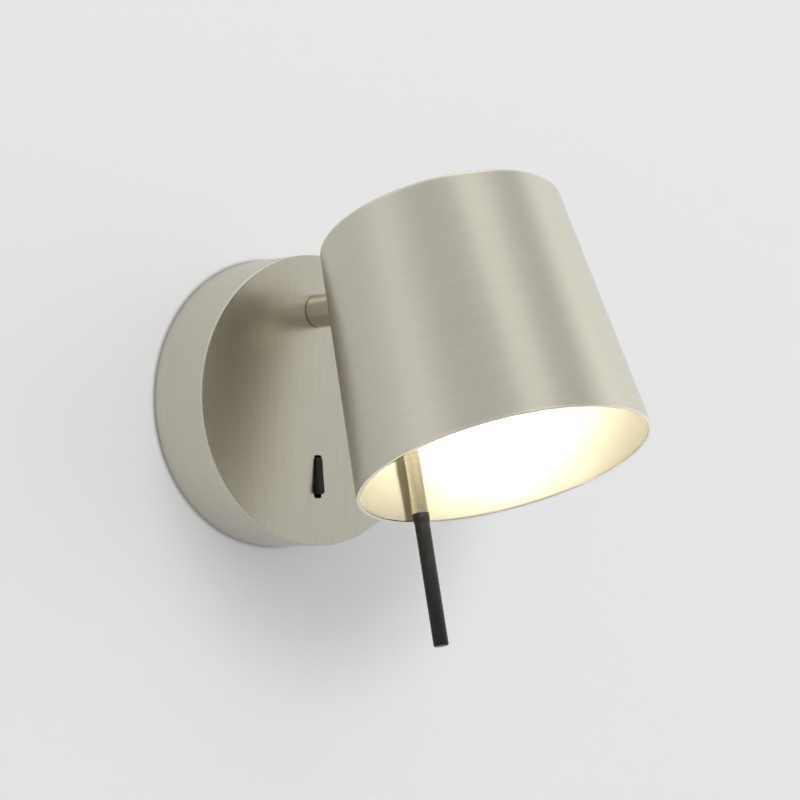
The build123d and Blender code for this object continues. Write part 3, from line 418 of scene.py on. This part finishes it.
# finishes of the CAD pieces, by the record's slot:
# name, colour, grain scale, contrast, roughness, its spread, fixed values and bump
slotLooks = {
    "satin_nickel": ("castNickel", nickel, 1800.0, 0.04, 0.34, 0.1, metal, (0.25, 0.02)),
    "plated_steel": ("zincPlate", (0.60, 0.61, 0.62, 1), 700.0, 0.09, 0.3, 0.22, metal, (0.2, 0.02)),
    "brass": ("plainBrass", (0.72, 0.56, 0.29, 1), 900.0, 0.08, 0.3, 0.15, metal, (0.2, 0.02)),
    "black_plastic": ("mouldedBlack", (0.022, 0.022, 0.022, 1), 2600.0, 0.06, 0.5, 0.1, {}, (0.25, 0.02)),
    "grip_black": ("sleeveBlack", (0.028, 0.027, 0.027, 1), 2200.0, 0.06, 0.42, 0.1, {}, (0.2, 0.02)),
    "white_plastic": ("mouldedWhite", (0.80, 0.79, 0.76, 1), 2000.0, 0.03, 0.42, 0.1, {}, (0.2, 0.02)),
    "nylon": ("naturalNylon", (0.76, 0.75, 0.69, 1), 1500.0, 0.04, 0.4, 0.1, {}, (0.2, 0.02)),
    "grommet_rubber": ("grommetRubber", (0.025, 0.025, 0.025, 1), 1500.0, 0.15, 0.7, 0.1, {}, (0.3, 0.04)),
    "porcelain": ("unglazedPorcelain", (0.82, 0.80, 0.75, 1), 1400.0, 0.05, 0.62, 0.1, {}, (0.4, 0.05)),
    "board": ("ledBoard", (0.85, 0.83, 0.78, 1), 1800.0, 0.05, 0.5, 0.1, {}, (0.2, 0.02)),
    "wire_brown": ("sleeveBrown", (0.16, 0.07, 0.03, 1), 2500.0, 0.06, 0.38, 0.1, {}, (0.15, 0.02)),
    "wire_blue": ("sleeveBlue", (0.03, 0.10, 0.32, 1), 2500.0, 0.06, 0.38, 0.1, {}, (0.15, 0.02)),
    "wire_earth": ("sleeveEarth", (0.28, 0.42, 0.05, 1), 2500.0, 0.06, 0.38, 0.1, {}, (0.15, 0.02)),
    "wire_white": ("sleeveWhite", (0.75, 0.73, 0.68, 1), 2500.0, 0.06, 0.38, 0.1, {}, (0.15, 0.02)),
}
sheetLook = {"Colour": nickel, "Contrast": 0.05}
slotFinishes = {
    "shade_nickel": finishOf("sheetNickel", brushedGroup, sheetLook, metal, (0.2, 0.01), False),
    "milk_glass": opalGlass,
}
for slot, (name, colour, scale, contrast, roughness, spread, fixed, bump) in slotLooks.items():
    slotLook = {
        "Colour": colour, "Scale": scale, "Contrast": contrast, "Roughness": roughness, "Spread": spread}
    slotFinishes[slot] = finishOf(name, mouldedGroup, slotLook, fixed, bump, False)

for entry in frame["record"]["subparts"]:
    node = frame["nodes"][entry["node"]]
    node.data.materials.clear()
    node.data.materials.append(slotFinishes[entry["material_slot"]])
print("materials ready:", len(bpy.data.materials))

# backplate cover

coverShape = {
    "radius": 60.0, "front": 31.9, "rear": 0.5, "sheet": 1.2, "frontEdge": 0.4, "smallEdge": 0.12,
    "armHole": 5.1, "armHeight": 36.8, "slotHalf": (1.925, 8.8), "slotCorner": 0.8, "slotHeight": -31.6,
    "grubDepth": 7.0, "grubHole": 2.1, "columns": 256, "roundingSteps": 9, "rearRow": 1.2, "frontRow": 0.5,
    "grubRows": (2.5, 11.5, 7), "grubColumns": 6, "grubSpread": (0, 0.25, 0.55, 0.8, 1), "grubWear": 0.6,
    "sideRows": (15.0, 19.0, 23.0, 27.0, 30.0), "armRing": (9.0, 9.0, 9.0), "slotRing": (7.0, 14.0, 6.5),
    "faceSteps": (0, 0.015, 0.2, 0.45, 0.75, 1), "brinkSteps": (0.4, 0.75, 0.95, 1), "chordPoints": 39,
    "grubGrain": (13.0, (0, 0.2, 1.2)), "holeGrain": (40.0, (0, 0.2, 1.0, 1.2)),
}


# The side's cells round a grub screw's hole: rows that go from the cells' outline to a circle.
def sidePatch(parts, radius, rows, columns, hole, c):
    step = 2 * math.pi / c["columns"]
    low = c["grubDepth"]
    left, right = columns
    across = np.arange(left, right + 1) * step
    middle = (left + right) / 2 * step
    outline = np.vstack([
        np.stack([across, np.full(len(across), rows[0])], -1)[:-1],
        np.stack([np.full(len(rows), across[-1]), rows], -1)[:-1],
        np.stack([across[::-1], np.full(len(across), rows[-1])], -1)[:-1],
        np.stack([np.full(len(rows), across[0]), rows[::-1]], -1)[:-1],
    ])
    around = np.arctan2(outline[:, 1] - low, (outline[:, 0] - middle) * radius)
    circle = np.stack([middle + np.arcsin(hole * np.cos(around) / radius), low + hole * np.sin(around)], -1)
    flat = between(outline, circle, c["grubSpread"])
    points = ringed(radius, flat[..., 1], flat[..., 0])
    uv = np.stack([flat[..., 0] * c["radius"], flat[..., 1]], -1)
    addGrid(parts, points, np.concatenate([uv, uv[:, :1]], 1), wrap=True)
    return ringed(radius, circle[:, 1], circle[:, 0])


def makeCover(c):
    parts = []
    count = c["columns"]
    angles = np.arange(count) * 2 * math.pi / count
    small = c["smallEdge"]
    inside, insideFront = c["radius"] - c["sheet"], c["front"] - c["sheet"]
    holeRows = np.linspace(*c["grubRows"])
    rearRows = [c["rear"] + small, c["rearRow"]]
    sideRows = np.concatenate([rearRows, holeRows, c["sideRows"]])
    frontStart = c["front"] - c["frontEdge"]
    arc = np.linspace(0, math.pi / 2, c["roundingSteps"])
    rounding = np.stack([
        c["radius"] - c["frontEdge"] + c["frontEdge"] * np.cos(arc), frontStart + c["frontEdge"] * np.sin(arc)], -1)
    innerSide = np.stack([np.full(len(sideRows), inside), sideRows], -1)[::-1]
    outerSide = np.stack([np.full(len(sideRows), c["radius"]), sideRows], -1)
    profile = np.vstack([
        [[inside, insideFront]], innerSide, [[inside + small, c["rear"]], [c["radius"] - small, c["rear"]]],
        outerSide, [[c["radius"], frontStart - c["frontRow"]]], rounding,
    ])
    bent = np.zeros(len(profile))
    bent[-len(rounding):] = 1.0
    # the cells round the two grub screw holes are left out here
    keep = np.ones((len(profile) - 1, count), bool)
    firstInner = 1 + len(sideRows) - len(rearRows) - len(holeRows)
    firstOuter = 1 + len(sideRows) + 2 + len(rearRows)
    span = c["grubColumns"]
    holeColumns = [(middle - span, middle + span) for middle in (count // 4, 3 * count // 4)]
    for first in (firstInner, firstOuter):
        for left, right in holeColumns:
            keep[first:first + len(holeRows) - 1, left:right] = False
    points = ringed(profile[:, :1], profile[:, 1:2], angles[None])
    around = np.linspace(0, 2 * math.pi, count + 1) * c["radius"]
    uv = np.stack(np.broadcast_arrays(around[None], runLength(profile)[:, None]), -1)
    addGrid(parts, points, uv, wrap=True, keep=keep, wear=bent[:, None])
    for columns in holeColumns:
        outerRing = sidePatch(parts, c["radius"], holeRows, columns, c["grubHole"] + small, c)
        innerRing = sidePatch(parts, inside, holeRows, columns, c["grubHole"], c)
        towards = np.array([0, 1.0 if columns[0] < count / 2 else -1.0, 0])
        centre = np.array([0, 0, c["grubDepth"]])
        drawn = outerRing.copy()
        narrower = c["grubHole"] / (c["grubHole"] + small)
        drawn[:, [0, 2]] = centre[[0, 2]] + (outerRing - centre)[:, [0, 2]] * narrower
        drawn -= towards * small
        wear = (c["grubWear"], c["grubWear"], 0.0)
        addHoleWall(parts, [outerRing, drawn, innerRing], c["grubGrain"], wear)
    # the front: each half of the disc runs from its outline to its own hole
    chord = np.linspace(-1, 1, c["chordPoints"] + 2)[1:-1]
    halfCount = count // 2
    openings = [
        (np.array([0, c["armHeight"]]), (c["armHole"],) * 3, c["armRing"], 1),
        (np.array([0, c["slotHeight"]]), (*c["slotHalf"], c["slotCorner"]), c["slotRing"], -1),
    ]
    for centre, hole, ring, side in openings:
        arcAngles = np.arange(halfCount + 1) * math.pi / halfCount + (0 if side > 0 else math.pi)
        rows = []
        for edge, depth, grow in (
            (c["radius"] - c["frontEdge"], c["front"], small), (inside, insideFront, 0.0),
        ):
            rim = np.stack([edge * np.cos(arcAngles), edge * np.sin(arcAngles)], -1)
            across = np.stack([side * chord * edge, np.zeros(len(chord))], -1)
            outline = np.vstack([rim, across])
            share = shareAt(np.arctan2(outline[:, 1] - centre[1], outline[:, 0]), *ring)
            middle = centre + outlineAt(share, *ring)
            brink = centre + outlineAt(share, *(v + grow for v in hole))
            flat = np.concatenate([
                between(outline, middle, c["faceSteps"]), between(middle, brink, c["brinkSteps"])])
            points = np.concatenate([flat, np.full((*flat.shape[:2], 1), depth)], -1)
            uv = flat[..., ::-1]
            addGrid(parts, points, np.concatenate([uv, uv[:, :1]], 1), wrap=True)
            rows.append((points[-1], share))
        frontRow, share = rows[0]
        backRow = rows[1][0]
        start = centre + outlineAt(share, *hole)
        under = np.concatenate([start, np.full((len(start), 1), c["front"] - small)], -1)
        through = np.concatenate([start, np.full((len(start), 1), insideFront + small)], -1)
        # the hole's wall ends on the inner face's own outline, so the two shares differ a little
        addHoleWall(parts, [frontRow, under, through, backRow], c["holeGrain"], (1.0, 1.0, 0.0, 0.0))
    return makePiece("plateCover", parts, "plate", [plateNickel], "wall_unit", ["cover"])


makeCover(coverShape)

# arm

armShape = {"root": 32.2, "end": 56.5, "radius": 7.0, "bore": 5.8, "edge": 0.2}
washerShape = {"rear": 31.9, "front": 32.2, "radius": 6.5, "bore": 5.1, "edge": 0.1}


def tubePath(low, high, radius, bore, edge):
    return roundedPath([(bore, low), (radius, low), (radius, high), (bore, high)], [edge / 2, edge, edge, edge / 2])


def makeTube(name, shape, place, low, high, finish, body, stands, count=96):
    parts = []
    turned(parts, *tubePath(shape[low], shape[high], shape["radius"], shape["bore"], shape["edge"]), count=count)
    return makePiece(name, parts, place, [finish], body, stands)


makeTube("armTube", armShape, "arm", "root", "end", tubeNickel, "arm", ["arm_tube"], 128)
makeTube("armRing", washerShape, "arm", "rear", "front", ringBlack, "wall_unit", ["swivel_outer_washer"])

# rocker

rockerShape = {
    "pivot": (28.4, -31.6), "tilt": 6.5, "width": 3.6, "length": 15.3, "front": 5.3, "tail": 2.2,
    "frontCorner": 1.5, "tailCorner": 0.6, "edge": 0.4, "dish": 0.18, "dishRise": 0.6, "middle": 1.5,
    "sideInsets": (2.2, 1.4, 0.8), "leastCorner": 0.05, "edgeWear": 0.5, "edgeSteps": 7, "acrossSteps": 7,
    "outlineSteps": 96, "sharp": 50.0,
}


# The side outline is carried across the width, and shrinks by an arc near both sides.
def makeRocker(r):
    parts = []
    half = r["length"] / 2
    corners = [(-half, -r["tail"]), (half, -r["tail"]), (half, r["front"]), (-half, r["front"])]
    steps = np.linspace(0, math.pi / 2, r["edgeSteps"])
    inset = r["edge"] * (1 - np.sin(steps))
    station = -r["width"] / 2 + r["edge"] * (1 - np.cos(steps))
    middle = np.linspace(station[-1], -station[-1], r["acrossSteps"] + 2)[1:-1]
    side = np.array(r["sideInsets"])
    first = np.full(len(side), station[0])
    stations = np.concatenate([first, station, middle, -station[::-1], -first])
    insets = np.concatenate([side, inset, np.zeros(len(middle)), inset[::-1], side[::-1]])
    slope = math.radians(r["tilt"])
    rows = []
    for across, shrink in zip(stations, insets):
        path, _ = roundedPath(
            [(x - math.copysign(shrink, x), y - math.copysign(shrink, y - r["middle"])) for x, y in corners],
            [max(r[corner] - shrink, r["leastCorner"])
             for corner in ("tailCorner", "tailCorner", "frontCorner", "frontCorner")], 8)
        # straight runs are divided, so that the front can be dished
        closed = np.vstack([path, path[:1]])
        length = runLength(closed)
        even = np.linspace(0, 1, r["outlineSteps"] + 1)
        path = np.stack([np.interp(even, length / length[-1], closed[:, k]) for k in (0, 1)], -1)[:-1]
        front = np.clip((path[:, 1] - r["front"] + r["dishRise"]) / r["dishRise"], 0, 1)
        path[:, 1] -= front * r["dish"] * np.cos(np.clip(path[:, 0] / half, -1, 1) * math.pi / 2) ** 2
        up = r["pivot"][1] + path[:, 0] * math.cos(slope) + path[:, 1] * math.sin(slope)
        depth = r["pivot"][0] + path[:, 1] * math.cos(slope) - path[:, 0] * math.sin(slope)
        rows.append(np.stack([np.full(len(path), across), up, depth], -1))
    points = np.array(rows)
    centre = points[[0, -1]].mean(1, keepdims=True).repeat(points.shape[1], 1)
    points = np.concatenate([centre[:1], points, centre[1:]])
    uv = np.zeros((*points.shape[:2], 2))
    uv[..., 0] = points[..., 1]
    uv[..., 1] = points[..., 0] + points[..., 2]
    plain, worn = np.zeros(1 + len(side)), np.full(len(steps), r["edgeWear"])
    wear = np.concatenate([plain, worn, np.zeros(len(middle)), worn, plain])[:, None]
    addGrid(parts, points, np.concatenate([uv, uv[:, :1]], 1), wrap=True, wear=wear)
    return makePiece("switchRocker", parts, "plate", [switchBlack], "rocker",
                     ["switch_rocker"], r["sharp"])


makeRocker(rockerShape)

# shade

shadeShape = {
    "rim": 57.8, "top": 48.4, "height": 102.1, "wall": 1.5, "topEdge": 1.2, "rimEdge": 0.3, "rimPolishAndPaintedHighlight": 3.0,
    "slotHalf": (5.0, 9.8), "slotMiddle": 90.4, "slotEdge": 0.1, "columns": 256,
    "roundingSteps": 9, "rimSteps": 5,
    "lowRows": (0.4, 1.2, 4, 8, 14, 20, 26, 32, 38, 44, 50, 56, 62, 68, 73), "slotRows": (77.2, 100.4, 13),
    "topRows": (46.4, 44, 40, 34, 26, 18, 10, 4, 1, 0), "slotColumns": 9,
    "slotSpread": (0, 0.3, 0.6, 0.85, 1), "slotGrain": (50.0, (0, 0.2, 1.6)),
}


# A cone wall with a closed top, both sides of it, and a slot through its rear.
def makeShade(s):
    parts = []
    count = s["columns"]
    angles = np.arange(count) * 2 * math.pi / count
    slope = (s["rim"] - s["top"]) / s["height"]
    lean = math.atan(slope)
    across = s["wall"] / math.cos(lean)
    ceiling = s["height"] - s["wall"]

    def outside(height):
        return s["rim"] - slope * height

    def inside(height):
        return outside(height) - across

    slotRows = np.linspace(*s["slotRows"])
    rows = np.concatenate([s["lowRows"], slotRows])
    # the rounding between the cone and the flat top
    bow = s["topEdge"]
    arc = np.linspace(0, 1, s["roundingSteps"]) * (math.pi / 2 - lean)
    centreHeight = s["height"] - bow
    centreRadius = outside(centreHeight) - bow / math.cos(lean)
    rounding = np.stack([centreRadius + bow * np.cos(lean + arc), centreHeight + bow * np.sin(lean + arc)], -1)
    topRows = np.array(s["topRows"])
    # the rounded rim, from the inner wall to the outer one, has the outer finish
    edge = s["rimEdge"]
    rimArc = np.linspace(-math.pi / 2, lean, s["rimSteps"])
    outerEdge = np.stack([s["rim"] - edge + edge * np.cos(rimArc), edge + edge * np.sin(rimArc)], -1)
    innerEdge = np.stack([inside(0) + edge - edge * np.cos(rimArc), edge + edge * np.sin(rimArc)], -1)[::-1]
    outer = np.vstack([
        innerEdge, outerEdge, np.stack([outside(rows), rows], -1), rounding,
        np.stack([topRows, np.full(len(topRows), s["height"])], -1),
    ])
    inner = np.vstack([
        innerEdge[:1], np.stack([inside(rows), rows], -1),
        [[inside(ceiling), ceiling]], np.stack([topRows[1:], np.full(len(topRows) - 1, ceiling)], -1),
    ])
    half = s["slotColumns"]
    rear = count // 4
    for profile, radiusAt, rimCount, finish, grow in (
        (outer, outside, len(innerEdge) + len(outerEdge), 0, s["slotEdge"]), (inner, inside, 1, 1, 0.0),
    ):
        keep = np.ones((len(profile) - 1, count), bool)
        first = rimCount + len(s["lowRows"])
        keep[first:first + len(slotRows) - 1, rear - half:rear + half] = False
        points = ringed(profile[:, :1], profile[:, 1:2], angles[None])
        around = np.linspace(0, 2 * math.pi, count + 1) * s["rim"]
        uv = np.stack(np.broadcast_arrays(around[None], runLength(profile)[:, None]), -1)
        bent = np.zeros(len(profile))
        if finish == 0:
            # the rim is lightened more than a worn edge: partly polish, partly a painted highlight
            bent[:rimCount] = s["rimPolishAndPaintedHighlight"]
            bent[rimCount + len(rows):rimCount + len(rows) + len(rounding)] = 1.0
        addGrid(parts, points, uv, wrap=True, keep=keep, finish=finish, wear=bent[:, None])
        columns = np.arange(rear - half, rear + half + 1) * 2 * math.pi / count
        outline = np.vstack([
            np.stack([columns, np.full(len(columns), slotRows[0])], -1)[:-1],
            np.stack([np.full(len(slotRows), columns[-1]), slotRows], -1)[:-1],
            np.stack([columns[::-1], np.full(len(columns), slotRows[-1])], -1)[:-1],
            np.stack([np.full(len(slotRows), columns[0]), slotRows[::-1]], -1)[:-1],
        ])
        middle = math.pi / 2
        aim = np.arctan2(outline[:, 1] - s["slotMiddle"], (outline[:, 0] - middle) * radiusAt(s["slotMiddle"]))
        share = shareAt(aim, *s["slotHalf"], s["slotHalf"][0])
        brink = outlineAt(share, *(v + grow for v in s["slotHalf"]), s["slotHalf"][0] + grow)
        height = s["slotMiddle"] + brink[:, 1]
        circle = np.stack([middle + np.arcsin(brink[:, 0] / radiusAt(height)), height], -1)
        flat = between(outline, circle, s["slotSpread"])
        points = ringed(radiusAt(flat[..., 1]), flat[..., 1], flat[..., 0])
        base = runLength(profile)[first]
        uv = np.stack([flat[..., 0] * s["rim"], base + flat[..., 1] - slotRows[0]], -1)
        addGrid(parts, points, np.concatenate([uv, uv[:, :1]], 1), wrap=True, finish=finish)
        if finish == 0:
            outerRing, straight = points[-1], outlineAt(share, *s["slotHalf"], s["slotHalf"][0])
            under = outerRing.copy()
            under[:, 0] = -straight[:, 0]
            under[:, 2] = s["slotMiddle"] + straight[:, 1]
            under[:, 1] = np.sqrt(outside(under[:, 2]) ** 2 - under[:, 0] ** 2) - grow
        else:
            addHoleWall(parts, [outerRing, under, points[-1]], s["slotGrain"], (1.0, 1.0, 0.0))
    return makePiece("lampShade", parts, "shade", [shadeNickel, insideNickelPaintedShadeAndWarmth], "head", ["shade"])


makeShade(shadeShape)

# bulb

bulbShape = {"radius": 8.0, "glass": 0.8, "tip": 31.6, "neck": 66.6, "fadeStart": 42.0, "fadeEnd": 56.0,
             "roundSteps": 25, "straightSteps": 12}


# A tube with a half round end, inside and outside, closed at the neck by a thin ring.
def makeBulb(b):
    parts = []
    arc = np.linspace(-math.pi / 2, 0, b["roundSteps"])
    centre = b["tip"] + b["radius"]
    straight = np.linspace(centre, b["neck"], b["straightSteps"] + 1)[1:]
    outside, inside = [
        np.vstack([np.stack([radius * np.cos(arc), centre + radius * np.sin(arc)], -1),
                   np.stack([np.full(len(straight), radius), straight], -1)])
        for radius in (b["radius"], b["radius"] - b["glass"])
    ]
    path = np.vstack([outside, inside[::-1]])
    path[[0, -1], 0] = 0
    fade = np.clip((path[:, 1] - b["fadeStart"]) / (b["fadeEnd"] - b["fadeStart"]), 0, 1)
    turned(parts, path, fade, count=64, closed=False)
    return makePiece("bulbGlass", parts, "shade", [opalGlass], "head", ["bulb_envelope"])


makeBulb(bulbShape)

# stem and grip

stemShape = {"top": 14.5, "bottom": 86.9, "radius": 3.2, "bore": 2.05, "edge": 0.15}
gripShape = {
    "top": 86.9, "flare": 2.0, "taper": 2.2, "end": 139.8, "collar": 3.4, "radius": 3.0, "bore": 1.97,
    "depth": 50.9, "boreEdge": 0.05, "topEdge": 0.2, "flareEdge": 0.6, "taperEdge": 1.2, "endEdge": 0.5,
    "wear": 0.4,
}

makeTube("stemTube", stemShape, "stem", "top", "bottom", tubeNickel, "head", ["stem_tube"])


# A sleeve with a flared collar, a rounded end and a blind bore.
def makeGrip(g):
    parts = []
    low = g["top"]
    path, bent = roundedPath([
        (0.0, low + g["depth"]), (g["bore"], low + g["depth"]), (g["bore"], low), (g["collar"], low),
        (g["collar"], low + g["flare"]), (g["radius"], low + g["flare"] + g["taper"]), (g["radius"], g["end"]),
        (0.0, g["end"]),
    ], [0, 0, g["boreEdge"], g["topEdge"], g["flareEdge"], g["taperEdge"], g["endEdge"], 0], 8)
    turned(parts, path, bent * g["wear"], count=72, closed=False)
    return makePiece("gripSleeve", parts, "stem", [gripBlack], "head", ["handle_grip"])


makeGrip(gripShape)

# stage, lamps and camera

stageLook = {
    "wall": (0.80, 0.80, 0.81, 1), "floor": (0.62, 0.62, 0.62, 1), "reach": 4.0, "floorHeight": -1.6,
    "hole": 0.0586, "wallRings": (0.3, 1.0), "sides": 128, "roughness": 0.9, "specular": 0.1,
    "wallLift": 0.305, "mirroredLift": 0.24, "paintedFarLift": 0.24, "paintedFarReach": (0.15, 0.45),
    "paintedShadowMiddle": (0.035, 0, -0.035), "paintedShadowReach": (0.042, 0.104), "paintedShadowShare": 0.42,
    "paintedGapShadeReach": (0.0598, 0.0618),
}


# A lowest share within the first distance from a middle, 1 past the second.
def beyond(tree, place, middle, reach, lowest=0.0):
    offset = addNode(tree, "ShaderNodeVectorMath", operation="SUBTRACT")
    offset.inputs[1].default_value = middle
    distance = addNode(tree, "ShaderNodeVectorMath", operation="LENGTH")
    fade = addNode(tree, "ShaderNodeMapRange", interpolation_type="SMOOTHSTEP")
    tree.links.new(place, offset.inputs[0])
    tree.links.new(offset.outputs[0], distance.inputs[0])
    tree.links.new(distance.outputs["Value"], fade.inputs["Value"])
    fade.inputs["From Min"].default_value, fade.inputs["From Max"].default_value = reach
    fade.inputs["To Min"].default_value = lowest
    return fade.outputs[0]


# A matt surface that is clear from behind, so that views from the back show the lamp.
def stageMaterial(name, colour, lift, s):
    material = bpy.data.materials.new(name)
    material.use_nodes = True
    tree = material.node_tree
    tree.nodes.clear()
    shader = addNode(tree, "ShaderNodeBsdfPrincipled")
    shader.inputs["Roughness"].default_value = s["roughness"]
    shader.inputs["Specular IOR Level"].default_value = s["specular"]
    shader.inputs["Base Color"].default_value = colour
    clear = addNode(tree, "ShaderNodeBsdfTransparent")
    either = addNode(tree, "ShaderNodeMixShader")
    side = addNode(tree, "ShaderNodeNewGeometry")
    output = addNode(tree, "ShaderNodeOutputMaterial")
    # a little of the wall's own paleness, for the camera and for what metal mirrors; what metal mirrors is also
    # painted brighter farther from the lamp
    glow = addNode(tree, "ShaderNodeEmission")
    ray = addNode(tree, "ShaderNodeLightPath")
    # it fades out in the gap behind the plate's edge, and below the shade, where the shadows are: a painted shade
    # in the gap and a painted shadow below, deepening the real ones
    place = addNode(tree, "ShaderNodeTexCoord").outputs["Object"]
    # painted shade in the gap round the plate's edge
    paintedGapShade = beyond(tree, place, (0, 0, 0), s["paintedGapShadeReach"])
    # painted shadow on the wall below the plate and the shade
    paintedShadow = beyond(tree, place, s["paintedShadowMiddle"], s["paintedShadowReach"], s["paintedShadowShare"])
    # painted brightening of the mirrored wall, growing farther from the lamp
    paintedFarBrightening = beyond(tree, place, (0, 0, 0), s["paintedFarReach"])
    direct = mathOf(tree, ray.outputs["Is Camera Ray"], lift[0], "MULTIPLY")
    level = mathOf(tree, paintedFarBrightening, lift[2], "MULTIPLY_ADD", lift[1])
    mirrored = mathOf(tree, ray.outputs["Is Glossy Ray"], level, "MULTIPLY")
    fade = mathOf(tree, paintedShadow, paintedGapShade, "MULTIPLY")
    strength = mathOf(tree, mathOf(tree, direct, mirrored), fade, "MULTIPLY")
    tree.links.new(strength, glow.inputs["Strength"])
    lit = addNode(tree, "ShaderNodeAddShader")
    tree.links.new(shader.outputs[0], lit.inputs[0])
    tree.links.new(glow.outputs[0], lit.inputs[1])
    tree.links.new(side.outputs["Backfacing"], either.inputs[0])
    tree.links.new(lit.outputs[0], either.inputs[1])
    tree.links.new(clear.outputs[0], either.inputs[2])
    tree.links.new(either.outputs[0], output.inputs[0])
    return material


# A wall with a hole where the plate's open back stands, and a floor far below.
def makeStage(s):
    angles = np.linspace(0, 2 * math.pi, s["sides"] + 1)[:-1]
    circle = np.stack([np.cos(angles), np.sin(angles)], -1)
    square = circle / np.abs(circle).max(1, keepdims=True)
    onWall = [circle * radius for radius in s["wallRings"]]
    rings = np.stack([circle * s["hole"], *onWall, square * s["reach"]])
    wallPoints = np.stack([rings[..., 0], np.zeros(rings.shape[:2]), rings[..., 1]], -1)
    quads, _, _ = gridQuads(len(rings), s["sides"], True)
    reach, low = s["reach"], s["floorHeight"]
    floorPoints = [(-reach, -reach, low), (reach, -reach, low), (reach, reach, low), (-reach, reach, low)]
    for name, points, faces, colour, lift in (
        ("stageWall", wallPoints.reshape(-1, 3).tolist(), quads[:, ::-1].tolist(), s["wall"],
         (s["wallLift"], s["mirroredLift"], s["paintedFarLift"])),
        ("stageFloor", floorPoints, [(0, 1, 2, 3)], s["floor"], (0.0, 0.0, 0.0)),
    ):
        mesh = bpy.data.meshes.new(name)
        mesh.from_pydata(points, [], faces)
        mesh.materials.append(stageMaterial(name, colour, lift, s))
        obj = bpy.data.objects.new(name, mesh)
        bpy.context.scene.collection.objects.link(obj)
        print(name, "faces", tuple(round(v, 2) for v in mesh.polygons[0].normal))


makeStage(stageLook)

lampLooks = {
    "frontLamp": {"place": (-0.30, -1.9, 1.3), "aim": (0, -0.1, 0.03), "size": (0.9, 1.0), "power": 1.9},
    "sideLamp": {"place": (1.9, -1.3, 0.9), "aim": (0, -0.1, 0), "size": (1.2, 1.6), "power": 2.2},
    "topLamp": {"place": (0.1, -0.7, 2.2), "aim": (0, -0.1, 0), "size": (1.6, 1.2), "power": 4.8},
    "rearLamp": {"place": (-0.9, 1.6, 1.0), "aim": (0, 0, 0), "size": (0.8, 0.8), "power": 6.0},
}


def aimed(obj, place, aim):
    away = np.array(place, float) - np.array(aim, float)
    yaw = math.atan2(away[0], -away[1])
    pitch = math.atan2(away[2], math.hypot(away[0], away[1]))
    obj.location = place
    obj.rotation_euler = (math.pi / 2 - pitch, 0, yaw)


for name, look in lampLooks.items():
    light = bpy.data.lights.new(name, "AREA")
    light.shape = "RECTANGLE"
    light.size, light.size_y = look["size"]
    light.energy = look["power"]
    lamp = bpy.data.objects.new(name, light)
    bpy.context.scene.collection.objects.link(lamp)
    aimed(lamp, look["place"], look["aim"])

# right, front and above: a change of level, and the direction's part on that axis where it starts and is full
worldLook = {
    "light": (0.64, 0.64, 0.645), "seen": (0.80, 0.80, 0.81, 1),
    "right": (0.68, 0.5, 0.95), "front": (-0.3, -0.5, -0.95), "above": (0.3, 0.75, 1.0),
}


# The room is brighter to the right of the lamp and above it, and darker in front.
# Its level is 1 plus, for each axis, a change times how far the direction lies between two ends.
def makeWorld(w):
    world = bpy.data.worlds.new("softRoom")
    bpy.context.scene.world = world
    world.use_nodes = True
    tree = world.node_tree
    tree.nodes.clear()
    direction = addNode(tree, "ShaderNodeTexCoord")
    split = addNode(tree, "ShaderNodeSeparateXYZ")
    tree.links.new(direction.outputs["Generated"], split.inputs[0])
    level = 1.0
    for axis, side in enumerate(("right", "front", "above")):
        change, start, end = w[side]
        share = addNode(tree, "ShaderNodeMapRange", interpolation_type="SMOOTHSTEP")
        tree.links.new(split.outputs[axis], share.inputs["Value"])
        share.inputs["From Min"].default_value = start
        share.inputs["From Max"].default_value = end
        level = mathOf(tree, share.outputs[0], change, "MULTIPLY_ADD", level)
    shaded = addNode(tree, "ShaderNodeVectorMath", operation="SCALE")
    shaded.inputs[0].default_value = w["light"]
    tree.links.new(level, shaded.inputs["Scale"])
    # the camera sees a plain pale room instead
    ray = addNode(tree, "ShaderNodeLightPath")
    either = addNode(tree, "ShaderNodeMixRGB")
    either.inputs[2].default_value = w["seen"]
    tree.links.new(ray.outputs["Is Camera Ray"], either.inputs[0])
    tree.links.new(shaded.outputs[0], either.inputs[1])
    background = addNode(tree, "ShaderNodeBackground")
    output = addNode(tree, "ShaderNodeOutputWorld")
    tree.links.new(either.outputs[0], background.inputs[0])
    tree.links.new(background.outputs[0], output.inputs[0])


makeWorld(worldLook)

cameraLook = {
    "place": (-0.68428, -0.86576, -0.06945), "yaw": 41.17, "pitch": 3.69, "roll": 0.13,
    "lens": 118.017, "sensor": 36.0,
}
cameraData = bpy.data.cameras.new("photoView")
cameraData.sensor_width = cameraLook["sensor"]
cameraData.lens = cameraLook["lens"]
camera = bpy.data.objects.new("photoView", cameraData)
bpy.context.scene.collection.objects.link(camera)
camera.location = cameraLook["place"]
camera.rotation_euler = [
    math.radians(v) for v in (90 + cameraLook["pitch"], -cameraLook["roll"], -cameraLook["yaw"])]
bpy.context.scene.camera = camera
bpy.context.scene.view_settings.view_transform = "Standard"
print("stage, lamps and camera ready")
